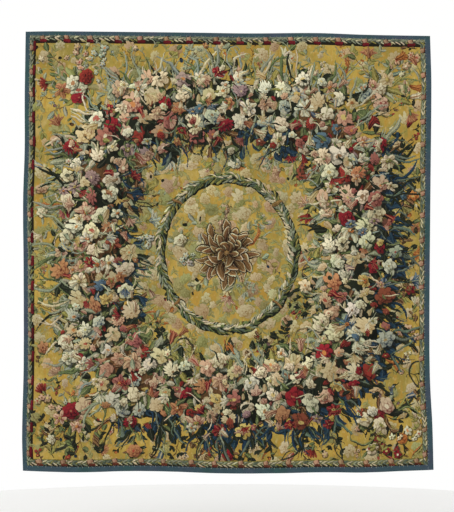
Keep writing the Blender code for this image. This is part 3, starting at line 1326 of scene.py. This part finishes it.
def mix_colours(share, low, high):
    tree = share.tree
    node = tree.nodes.new("ShaderNodeMix")
    node.data_type = "RGBA"
    plug(tree, share, node.inputs[0])
    plug(tree, low, node.inputs[6])
    plug(tree, high, node.inputs[7])
    return Wire(tree, node.outputs[2])


def shaded(colour, light):
    """A colour made lighter or darker by a number of about 1."""
    node = colour.tree.nodes.new("ShaderNodeVectorMath")
    node.operation = "SCALE"
    plug(colour.tree, colour, node.inputs[0])
    plug(colour.tree, light, node.inputs["Scale"])
    return Wire(colour.tree, node.outputs[0])


def parts(tree, colour):
    """The three numbers that a colour stands for."""
    node = tree.nodes.new("ShaderNodeSeparateColor")
    plug(tree, colour, node.inputs[0])
    return [Wire(tree, socket) for socket in node.outputs]


def attribute(tree, name):
    node = tree.nodes.new("ShaderNodeAttribute")
    node.attribute_name = name
    return Wire(tree, node.outputs["Color"])


def noise(tree, scale_x, scale_z, place=0.0, detail=1.0, roughness=0.5, kind="Fac"):
    """Uneven values of about 0 to 1 over the cloth. place picks one of many patterns."""
    coordinates = tree.nodes.new("ShaderNodeTexCoord")
    mapping = tree.nodes.new("ShaderNodeMapping")
    mapping.inputs["Location"].default_value = (0.0, place, 0.0)
    mapping.inputs["Scale"].default_value = (scale_x, 0.0, scale_z)
    tree.links.new(coordinates.outputs["Object"], mapping.inputs["Vector"])
    node = tree.nodes.new("ShaderNodeTexNoise")
    tree.links.new(mapping.outputs["Vector"], node.inputs["Vector"])
    node.inputs["Scale"].default_value = 1.0
    node.inputs["Detail"].default_value = detail
    node.inputs["Roughness"].default_value = roughness
    return Wire(tree, node.outputs[kind])


def motif_group():
    """One layer of motifs over what lies below: a rosette of petal rows, or a blade."""
    tree = bpy.data.node_groups.new("woven_motif", "ShaderNodeTree")
    colours = ("Below", "Place", "Form", "Bend", "Light", "Dark", "Heart", "Shadow")
    numbers = ("Wobble X", "Wobble Y", "Ripple", "Hatch")
    sockets = dict.fromkeys(colours, "NodeSocketColor") | dict.fromkeys(numbers, "NodeSocketFloat")
    for name, kind in sockets.items():
        tree.interface.new_socket(name=name, in_out="INPUT", socket_type=kind)
    tree.interface.new_socket(name="Colour", in_out="OUTPUT", socket_type="NodeSocketColor")
    inputs = tree.nodes.new("NodeGroupInput")
    entry = {name: Wire(tree, inputs.outputs[name]) for name in sockets}
    along, up, scale = parts(tree, entry["Place"])
    count, steps, cut = parts(tree, entry["Form"])
    heart, lean, bend = parts(tree, entry["Bend"])
    is_rosette = scale.over(0.0)
    fine = scale.size()
    along = along + entry["Wobble X"] * fine * mix(is_rosette, 0.4, 1.0)
    up = up + entry["Wobble Y"] * fine

    # Rows of petals
    shifted = along + lean * (1.0 - (along * along + up * up).math("MINIMUM", 1.0))
    radius = (shifted * shifted + up * up).math("SQRT")
    angle = up.math("ARCTAN2", shifted) * count * 0.5 + bend + entry["Ripple"] + radius * twist_of(bend)
    cosine = angle.math("COSINE").size()
    sine = angle.math("SINE").size()
    place = radius * steps
    inner = place.math("FLOOR")
    odd = inner.math("MODULO", 2.0)
    lobe = mix(odd, cosine, sine)
    next_lobe = mix(odd, sine, cosine)
    edge = inner + 1.0 - cut * (1.0 - lobe)
    next_edge = inner + 2.0 - cut * (1.0 - next_lobe)
    passed = place.over(edge)
    rim = mix(passed, edge, next_edge) - place
    base = place - mix(passed, next_edge - 2.0, edge)
    own_lobe = mix(passed, lobe, next_lobe)
    crease = (1.0 - own_lobe).math("POWER", 5.0) * 0.3
    petal_tone = base.rise(-0.05, 0.8) * 0.56 + 0.27 + rim.under(0.2) * 0.1 + radius * 0.1
    petal_tone = petal_tone - rim.under(0.07) * 0.42 - crease - shifted * 0.64
    petal_in = (inner + passed).under(steps - 0.5)
    petal_heart = (radius + own_lobe * 0.05).under(heart)
    shadow_x = along - SHADOW_SHIFT
    shadow = (shadow_x * shadow_x + up * up).under(SHADOW_RADIUS * SHADOW_RADIUS) * is_rosette
    shadow = shadow * (count.over(0.0) * 0.6 + 0.12)

    # A blade
    bow = (1.0 - along * along).math("MAXIMUM", 0.0)
    teeth = (along * 34.0).math("SINE") * cut + 1.0 - cut
    width = bow.math("POWER", steps) * teeth
    offset = up - bend * (1.0 - along * along)
    share = offset / width.math("MAXIMUM", 0.02)
    vein = ((along - share.size() * 0.22) * count * 3.1).math("SINE").over(0.82) * 0.22
    blade_tone = 0.46 + share.rise(-0.35, 0.35) * 0.4 + along * lean * 0.5 - vein * count.over(0.5)
    blade_tone = blade_tone - share.size().rise(0.66, 0.9) * 0.5
    blade_in = offset.size().under(width)
    blade_rib = offset.size().under(heart)

    tone = mix(is_rosette, blade_tone, petal_tone)
    inside = mix(is_rosette, blade_in, petal_in)
    marked = mix(is_rosette, blade_rib, petal_heart)
    levels = 5.0
    tone = (tone * levels + entry["Hatch"]).math("FLOOR") / levels
    tone = tone.math("MINIMUM", 1.0).math("MAXIMUM", 0.0)
    colour = mix_colours(tone, entry["Dark"], entry["Light"])
    colour = mix_colours(marked * 0.85, colour, entry["Heart"])
    below = mix_colours(shadow, entry["Below"], entry["Shadow"])
    colour = mix_colours(inside, below, colour)
    outputs = tree.nodes.new("NodeGroupOutput")
    plug(tree, colour, outputs.inputs["Colour"])
    return tree


def weave_relief(tree, z, rib):
    """Height of the ribs and of the threads that cross them."""
    drift = noise(tree, 9.0, 40.0) * 2.5
    ribs = (z * (math.tau / rib) + drift).math("SINE") * 0.5 + 0.5
    threads = noise(tree, 1400.0, 260.0, detail=0.0)
    return ribs * 0.55 + threads * 0.6


def cloth_shader(tree, colour, height, roughness, depth):
    """Ends a wool material: a rough shader with a little sheen, and the weave as bump."""
    shader = tree.nodes.new("ShaderNodeBsdfPrincipled")
    plug(tree, colour, shader.inputs["Base Color"])
    shader.inputs["Roughness"].default_value = roughness
    shader.inputs["Specular IOR Level"].default_value = 0.1
    shader.inputs["Sheen Weight"].default_value = 0.04
    shader.inputs["Sheen Roughness"].default_value = 0.6
    bump = tree.nodes.new("ShaderNodeBump")
    bump.inputs["Strength"].default_value = 0.6
    bump.inputs["Distance"].default_value = depth
    plug(tree, height, bump.inputs["Height"])
    tree.links.new(bump.outputs["Normal"], shader.inputs["Normal"])
    output = tree.nodes.new("ShaderNodeOutputMaterial")
    tree.links.new(shader.outputs["BSDF"], output.inputs["Surface"])


def new_material(name):
    material = bpy.data.materials.new(name)
    material.use_nodes = True
    material.node_tree.nodes.clear()
    return material


def opaque(colour):
    return (*colour, 1.0)


def opaque_colour(tree, colour):
    """A plain colour that later nodes make uneven."""
    node = tree.nodes.new("ShaderNodeRGB")
    node.outputs[0].default_value = opaque(colour)
    return Wire(tree, node.outputs[0])


def tapestry_material(sizes, colours):
    """Gold ground, border ground and all layers of motifs, with the weave over them."""
    material = new_material("woven_flowers_on_gold")
    tree = material.node_tree
    x, z, _ = parts(tree, attribute(tree, "flat"))

    # Gold ground, dyed unevenly, its wefts running up and down
    streak = noise(tree, 34.0, 5.0, detail=2.0)
    patch = noise(tree, 2.6, 3.4, 4.0, detail=2.0)
    thread = noise(tree, 520.0, 55.0)
    gold = mix_colours(patch.rise(0.38, 0.62), opaque(colours.olive_gold), opaque(colours.gold))
    gold = mix_colours(streak.rise(0.46, 0.66) * 0.7, gold, opaque(colours.amber))
    worn = noise(tree, 7.0, 5.0, 9.0, detail=3.0, roughness=0.6)
    gold = mix_colours(worn.rise(0.52, 0.66) * 0.75, gold, opaque(colours.amber))
    gold = mix_colours((1.0 - worn).rise(0.54, 0.68) * 0.55, gold, opaque(colours.pale_gold))
    mottle = noise(tree, 46.0, 30.0, 11.0, detail=2.0, roughness=0.6)
    gold = mix_colours(mottle.rise(0.55, 0.7) * 0.7, gold, opaque(colours.olive_gold))
    gold = mix_colours((1.0 - mottle).rise(0.55, 0.7) * 0.7, gold, opaque(colours.pale_gold))

    # The border's dark ground, by the distance from each edge of the cloth
    (x_left, z_bottom), (x_right, z_top) = inset(sizes, sizes.galloon)
    ways = (z_top - z, z - z_bottom, x - x_left, x_right - x)
    shares = [way / wide for way, wide in zip(ways, sizes.border)]
    nearest = shares[0]
    for other in shares[1:]:
        nearest = nearest.math("MINIMUM", other)
    colour = mix_colours(nearest.under(1.0), gold, opaque(colours.border_ground))

    # Layers of motifs
    low = parts(tree, noise(tree, 90.0, 90.0, kind="Color"))
    high = parts(tree, noise(tree, 420.0, 700.0, detail=0.0, kind="Color"))
    hatch = noise(tree, 300.0, 60.0, detail=0.0).rise(0.3, 0.7)
    brush = noise(tree, 80.0, 50.0, 7.0, detail=2.0, roughness=0.6)
    shared = {
        "Shadow": opaque(colours.woven_shadow),
        "Wobble X": low[0] * 0.0075 + high[0] * 0.0018 - 0.00465,
        "Wobble Y": low[1] * 0.0075 + high[1] * 0.0018 - 0.00465,
        "Ripple": low[2] * 1.6 - 0.8,
        "Hatch": hatch + brush * 6.0 - 3.0,
    }
    group = motif_group()
    for layer in range(LAYERS):
        # A layer's attributes are made before its group, and no socket's kind changes on the way, so
        # that the shader computes one layer after another and doesn't run out of room
        names = ("Place", "Form", "Bend", "Light", "Dark", "Heart")
        values = {name: attribute(tree, f"{name.lower()}_{layer}") for name in names}
        node = tree.nodes.new("ShaderNodeGroup")
        node.node_tree = group
        plug(tree, colour, node.inputs["Below"])
        for name, value in {**values, **shared}.items():
            plug(tree, value, node.inputs[name])
        colour = Wire(tree, node.outputs["Colour"])

    # Uneven threads and age
    colour = shaded(colour, (thread * 0.5 + 0.75) * (patch * 0.3 + 0.85))
    cloth_shader(tree, colour, weave_relief(tree, z, sizes.rib), 0.88, 0.0006)
    return material


def galloon_material(sizes, colours):
    """Slate blue rep, faded and dyed unevenly along its length."""
    material = new_material("blue_galloon_rep")
    tree = material.node_tree
    _, z, _ = parts(tree, attribute(tree, "flat"))
    hue = noise(tree, 5.0, 5.0, detail=2.0)
    fade = noise(tree, 22.0, 22.0, 3.0, detail=3.0)
    thread = noise(tree, 480.0, 480.0)
    colour = mix_colours(hue.rise(0.35, 0.5), opaque(colours.slate_teal), opaque(colours.slate))
    colour = mix_colours(hue.rise(0.5, 0.68), colour, opaque(colours.slate_violet))
    colour = shaded(colour, (thread * 0.5 + 0.75) * (fade * 0.6 + 0.7))
    cloth_shader(tree, colour, weave_relief(tree, z, sizes.rib), 0.85, 0.0006)
    return material


def thread_material(colours):
    """Pale linen sewing thread, twisted and a little soiled."""
    material = new_material("linen_thread")
    tree = material.node_tree
    coordinates = tree.nodes.new("ShaderNodeTexCoord")
    x, _, z = parts(tree, Wire(tree, coordinates.outputs["Object"]))
    soil = noise(tree, 30.0, 30.0)
    twist = ((x + z) * 5200.0).math("SINE") * 0.5 + 0.5
    # The ridges of the twist, high in the bump, are also painted a little lighter: a faint painted
    # highlight on each ridge
    colour = shaded(opaque_colour(tree, colours.thread), soil * 0.6 + 0.7 + twist * 0.1)
    cloth_shader(tree, colour, twist, 0.8, 0.0002)
    return material


def plain_material(name, colour, roughness):
    material = new_material(name)
    tree = material.node_tree
    shader = tree.nodes.new("ShaderNodeBsdfPrincipled")
    shader.inputs["Base Color"].default_value = opaque(colour)
    shader.inputs["Roughness"].default_value = roughness
    output = tree.nodes.new("ShaderNodeOutputMaterial")
    tree.links.new(shader.outputs["BSDF"], output.inputs["Surface"])
    return material


# Meshes

# Reach of a seam stitch on the border's side and on the galloon's
STITCH_REACH = (0.006, 0.010)
STITCH_RADIUS = 0.0009


# Where the front, the back and the height lie on the UV map: start and extent
FRONT_MAP = (0.005, 0.815)
BACK_MAP = (0.835, 0.16)
HEIGHT_MAP = (0.005, 0.99)

# The stage: the floor, and the photo's height and scale for the camera
FLOOR_HEIGHT = -3.24
FLOOR_RADIUS = 3.4
CAMERA_DISTANCE = 14.0
PHOTO_HEIGHT = 512
METRES_PER_PIXEL = 0.0064


def flat_slab(low, high, cell):
    """A closed slab from the low to the high flat corner, in cells of about the given size.

    Its y is 0 on the back and -1 on the front, until it is hung.
    """
    bm = bmesh.new()
    cells = [max(1, round((b - a) / cell)) for a, b in zip(low, high)]
    bmesh.ops.create_grid(bm, x_segments=cells[0], y_segments=cells[1], size=0.5)
    for vertex in bm.verts:
        share_x, share_z = vertex.co.x + 0.5, vertex.co.y + 0.5
        vertex.co = (low[0] + (high[0] - low[0]) * share_x, 0.0, low[1] + (high[1] - low[1]) * share_z)
    grown = bmesh.ops.extrude_face_region(bm, geom=bm.faces[:], use_keep_orig=True)
    front = [item for item in grown["geom"] if isinstance(item, bmesh.types.BMVert)]
    bmesh.ops.translate(bm, verts=front, vec=(0, -1, 0))
    bmesh.ops.recalc_face_normals(bm, faces=bm.faces[:])
    return bm, cells


def mesh_object(name, bm, material):
    mesh = bpy.data.meshes.new(name)
    bm.to_mesh(mesh)
    bm.free()
    mesh.materials.append(material)
    piece = bpy.data.objects.new(name, mesh)
    bpy.context.scene.collection.objects.link(piece)
    return piece


def stitch_rod(bm, centre, way, reach):
    """A closed six-sided thread whose ends dip into the cloth, laid flat with its back at y 0."""
    made = bmesh.ops.create_uvsphere(bm, u_segments=6, v_segments=6, radius=1.0)
    size = mathutils.Matrix.Diagonal((reach, STITCH_RADIUS, STITCH_RADIUS, 1.0))
    turned = mathutils.Matrix.Rotation(-way, 4, "Y")
    moved = mathutils.Matrix.Translation((centre[0], 0.0, centre[1]))
    bmesh.ops.transform(bm, matrix=moved @ turned @ size, verts=made["verts"])


def vertex_places(mesh):
    places = np.empty(len(mesh.vertices) * 3)
    mesh.vertices.foreach_get("co", places)
    return places.reshape(-1, 3)


def hang_mesh(sizes, mesh, thickness):
    """Hangs a flat slab, and keeps its flat coordinates as an attribute."""
    flat = vertex_places(mesh)
    x, side, z = flat[:, 0], flat[:, 1], flat[:, 2]
    kept = mesh.attributes.new("flat", "FLOAT_VECTOR", "POINT")
    kept.data.foreach_set("vector", np.stack([x, z, -side], axis=-1).astype(np.float32).ravel())
    places = hang(sizes, x, z, -side * thickness)
    mesh.vertices.foreach_set("co", places.astype(np.float32).ravel())
    mesh.shade_smooth()
    mesh.set_sharp_from_angle(angle=math.radians(50))
    mesh.update()
    return flat


def corner_table(mesh):
    """Vertex numbers of each face's four corners."""
    numbers = np.empty(len(mesh.loops), np.int32)
    mesh.loops.foreach_get("vertex_index", numbers)
    return numbers.reshape(-1, 4)


def bake_map(mesh, low, high, flat):
    """UV map that gives the front most of the picture and the back a strip beside it."""
    corners = corner_table(mesh)
    places = flat[corners]
    share_x = (places[..., 0] - low[0]) / (high[0] - low[0])
    share_z = (places[..., 2] - low[1]) / (high[1] - low[1])
    behind = (places[..., 1] > -0.5).all(axis=1)
    front, back = (start + extent * share_x for start, extent in (FRONT_MAP, BACK_MAP))
    u = np.where(behind[:, None], back, front)
    v = HEIGHT_MAP[0] + HEIGHT_MAP[1] * share_z
    layer = mesh.uv_layers.new(name="OFBake")
    layer.data.foreach_set("uv", np.stack([u, v], axis=-1).astype(np.float32).ravel())


def warp(sizes, x, z):
    """Flat points as the weaver set them: a few millimetres off, least in the border."""
    half_x, half_z = (size / 2 for size in flat_size(sizes))
    inside = np.minimum(half_x - np.abs(x), half_z - np.abs(z))
    off = 0.0025 + 0.0045 * smooth_step((inside - 0.09) / 0.1)
    dx = off * plane_waves(SEED + 2, x, z, shortest=0.06, longest=0.22, count=12)
    dz = off * plane_waves(SEED + 3, x, z, shortest=0.06, longest=0.22, count=12)
    return np.stack([x + dx, z + dz], axis=-1)


def write_motifs(sizes, mesh, flat, motifs, low, high, cells):
    """Stores for each layer where a face lies in its motif, and the motif's form and colours."""
    lines_x = np.linspace(low[0], high[0], cells[0] + 1)
    lines_z = np.linspace(low[1], high[1], cells[1] + 1)
    grid_x, grid_z = np.meshgrid(lines_x, lines_z, indexing="ij")
    chosen = sort_into_layers(motifs, warp(sizes, grid_x, grid_z), lines_x, lines_z)
    corners = corner_table(mesh)
    middle = flat[corners].mean(axis=1)
    column = np.clip(((middle[:, 0] - low[0]) / (high[0] - low[0]) * cells[0]).astype(int), 0, cells[0] - 1)
    row = np.clip(((middle[:, 2] - low[1]) / (high[1] - low[1]) * cells[1]).astype(int), 0, cells[1] - 1)
    places = warp(sizes, flat[:, 0], flat[:, 2])[corners]
    for layer in range(LAYERS):
        number = chosen[column, row, layer]
        motif = motifs[number]
        empty = number < 0
        fields = motif.T[:, :, None]
        along, up = local_points(fields, places[..., 0], places[..., 1])
        scale = (motif[:, 0] / np.abs(motif[:, FIELD["half_width"]]))[:, None] * np.ones((1, 4))
        local = np.stack([along, up, scale], axis=-1)
        local[empty] = (9.0, 9.0, 1.0)
        shape = motif[:, FIELD["count"] : FIELD["cut"] + 1].copy()
        shape[empty] = 0.0
        store(mesh, f"place_{layer}", "CORNER", local)
        store(mesh, f"form_{layer}", "FACE", shape)
        store(mesh, f"bend_{layer}", "FACE", motif[:, FIELD["heart"] : FIELD["bend"] + 1])
        for tone, first in (("light", "light_r"), ("dark", "dark_r"), ("heart", "heart_r")):
            store(mesh, f"{tone}_{layer}", "FACE", motif[:, FIELD[first] : FIELD[first] + 3])


def store(mesh, name, domain, values):
    made = mesh.attributes.new(name, "FLOAT_VECTOR", domain)
    made.data.foreach_set("vector", values.astype(np.float32).ravel())


class TAPESTRY_OT_cloth(bpy.types.Operator):
    """Weave and hang the tapestry itself"""

    bl_idname = "tapestry.cloth"
    bl_label = "Tapestry Cloth"

    def execute(self, context):
        sizes = context.scene.tapestry_sizes
        colours = context.scene.tapestry_colours
        low, high = inset(sizes, [galloon + sizes.seam_gap for galloon in sizes.galloon])
        bm, cells = flat_slab(low, high, CELL)
        cloth = mesh_object("tapestry", bm, tapestry_material(sizes, colours))
        flat = hang_mesh(sizes, cloth.data, sizes.cloth_thickness)
        write_motifs(sizes, cloth.data, flat, make_design(sizes, colours), low, high, cells)
        bake_map(cloth.data, low, high, flat)
        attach(cloth, "root")
        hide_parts("woven_cloth")
        high[0] - low[0]
        high[1] - low[1]
        return {"FINISHED"}


class TAPESTRY_OT_galloon(bpy.types.Operator):
    """Sew the four blue galloon strips round the cloth"""

    bl_idname = "tapestry.galloon"
    bl_label = "Galloon Strips"

    def execute(self, context):
        sizes = context.scene.tapestry_sizes
        material = galloon_material(sizes, context.scene.tapestry_colours)
        half_x, half_z = (size / 2 for size in flat_size(sizes))
        (x_left, z_bottom), (x_right, z_top) = inset(sizes, sizes.galloon)
        gap = sizes.seam_gap
        strips = {
            "left": ((-half_x, -half_z), (x_left, half_z)),
            "right": ((x_right, -half_z), (half_x, half_z)),
            "top": ((x_left + gap, z_top), (x_right - gap, half_z)),
            "bottom": ((x_left + gap, -half_z), (x_right - gap, z_bottom)),
        }
        for side, (low, high) in strips.items():
            bm, _ = flat_slab(low, high, GALLOON_CELL)
            strip = mesh_object(f"galloon_strip_{side}", bm, material)
            flat = hang_mesh(sizes, strip.data, sizes.galloon_thickness)
            bake_map(strip.data, low, high, flat)
            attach(strip, "root")
            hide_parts(f"galloon_{side}")
            high[0] - low[0]
            high[1] - low[1]
        return {"FINISHED"}


class TAPESTRY_OT_stitches(bpy.types.Operator):
    """Sew the galloon to the cloth with pale stitches over the seam"""

    bl_idname = "tapestry.stitches"
    bl_label = "Seam Stitches"

    def execute(self, context):
        sizes = context.scene.tapestry_sizes
        rng = np.random.default_rng(SEED + 5)
        (x_left, z_bottom), (x_right, z_top) = inset(sizes, sizes.galloon)
        seams = (
            ((x_left, z_top), (x_right, z_top)),
            ((x_right, z_bottom), (x_left, z_bottom)),
            ((x_left, z_bottom), (x_left, z_top)),
            ((x_right, z_top), (x_right, z_bottom)),
        )
        bm = bmesh.new()
        for start, end in seams:
            length = math.dist(start, end)
            turn = math.atan2(end[1] - start[1], end[0] - start[0])
            for place in np.arange(0.02, length - 0.02, sizes.stitch_pitch):
                middle = polar(start, turn, place + rng.uniform(-0.3, 0.3) * sizes.stitch_pitch)
                way = turn - math.pi / 2 + rng.uniform(-0.25, 0.25)
                reach = (STITCH_REACH[0] + STITCH_REACH[1]) / 2 * rng.uniform(0.7, 1.15)
                centre = polar(middle, way, (STITCH_REACH[0] - STITCH_REACH[1]) / 2)
                stitch_rod(bm, centre, way, reach)
        bmesh.ops.recalc_face_normals(bm, faces=bm.faces[:])
        material = thread_material(context.scene.tapestry_colours)
        stitches = mesh_object("seam_stitches", bm, material)
        flat = vertex_places(stitches.data)
        places = hang(sizes, flat[:, 0], flat[:, 2], sizes.cloth_thickness - flat[:, 1])
        stitches.data.vertices.foreach_set("co", places.astype(np.float32).ravel())
        stitches.data.shade_smooth()
        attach(stitches, "root")
        return {"FINISHED"}


class TAPESTRY_OT_stage(bpy.types.Operator):
    """Set up the pale floor, the soft light and the camera"""

    bl_idname = "tapestry.stage"
    bl_label = "Stage, Lights and Camera"

    def execute(self, context):
        scene = context.scene
        bm = bmesh.new()
        bmesh.ops.create_circle(bm, cap_ends=True, segments=96, radius=FLOOR_RADIUS)
        bmesh.ops.translate(bm, verts=bm.verts[:], vec=(0, 0, FLOOR_HEIGHT))
        floor = mesh_object("floor", bm, plain_material("pale_floor", (0.92, 0.92, 0.91), 0.9))

        world = bpy.data.worlds.new("studio_white")
        world.use_nodes = True
        background = world.node_tree.nodes["Background"]
        background.inputs["Color"].default_value = (1.0, 1.0, 0.995, 1.0)
        background.inputs["Strength"].default_value = 1.0
        scene.world = world
        scene.view_settings.view_transform = "Standard"

        lamp = bpy.data.lights.new("soft_key", "AREA")
        lamp.shape = "DISK"
        lamp.size = 3.0
        lamp.energy = 60.0
        key = bpy.data.objects.new("soft_key", lamp)
        key.location = (-3.6, -5.0, 1.4)
        direction = mathutils.Vector((0.0, 0.0, -1.4)) - key.location
        key.rotation_euler = direction.to_track_quat("-Z", "Y").to_euler()
        scene.collection.objects.link(key)

        camera = bpy.data.cameras.new("camera")
        camera.sensor_width = 36.0
        picture_height = PHOTO_HEIGHT * METRES_PER_PIXEL
        camera.lens = camera.sensor_width * CAMERA_DISTANCE / picture_height
        viewer = bpy.data.objects.new("camera", camera)
        viewer.location = (-0.0055, -CAMERA_DISTANCE, -1.426)
        viewer.rotation_euler = (math.radians(90), 0.0, 0.0)
        scene.collection.objects.link(viewer)
        scene.camera = viewer
        return {"FINISHED"}


class TAPESTRY_PT_panel(bpy.types.Panel):
    """Sizes, colours and build steps of the tapestry"""

    bl_idname = "TAPESTRY_PT_panel"
    bl_label = "Wall Tapestry"
    bl_space_type = "VIEW_3D"
    bl_region_type = "UI"
    bl_category = "Tapestry"

    def draw(self, context):
        for step in STEPS:
            self.layout.operator(step.bl_idname)
        for group in (context.scene.tapestry_sizes, context.scene.tapestry_colours):
            box = self.layout.box()
            for name in group.__annotations__:
                box.prop(group, name)


STEPS = (TAPESTRY_OT_cloth, TAPESTRY_OT_galloon, TAPESTRY_OT_stitches, TAPESTRY_OT_stage)
CLASSES = (TapestrySizes, TapestryColours, *STEPS, TAPESTRY_PT_panel)


def register():
    for made in CLASSES:
        bpy.utils.register_class(made)
    bpy.types.Scene.tapestry_sizes = bpy.props.PointerProperty(type=TapestrySizes)
    bpy.types.Scene.tapestry_colours = bpy.props.PointerProperty(type=TapestryColours)


def unregister():
    del bpy.types.Scene.tapestry_sizes
    del bpy.types.Scene.tapestry_colours
    for made in reversed(CLASSES):
        bpy.utils.unregister_class(made)


def main():
    register()
    bpy.ops.tapestry.cloth()
    bpy.ops.tapestry.galloon()
    bpy.ops.tapestry.stitches()
    bpy.ops.tapestry.stage()


if __name__ == "__main__":
    main()
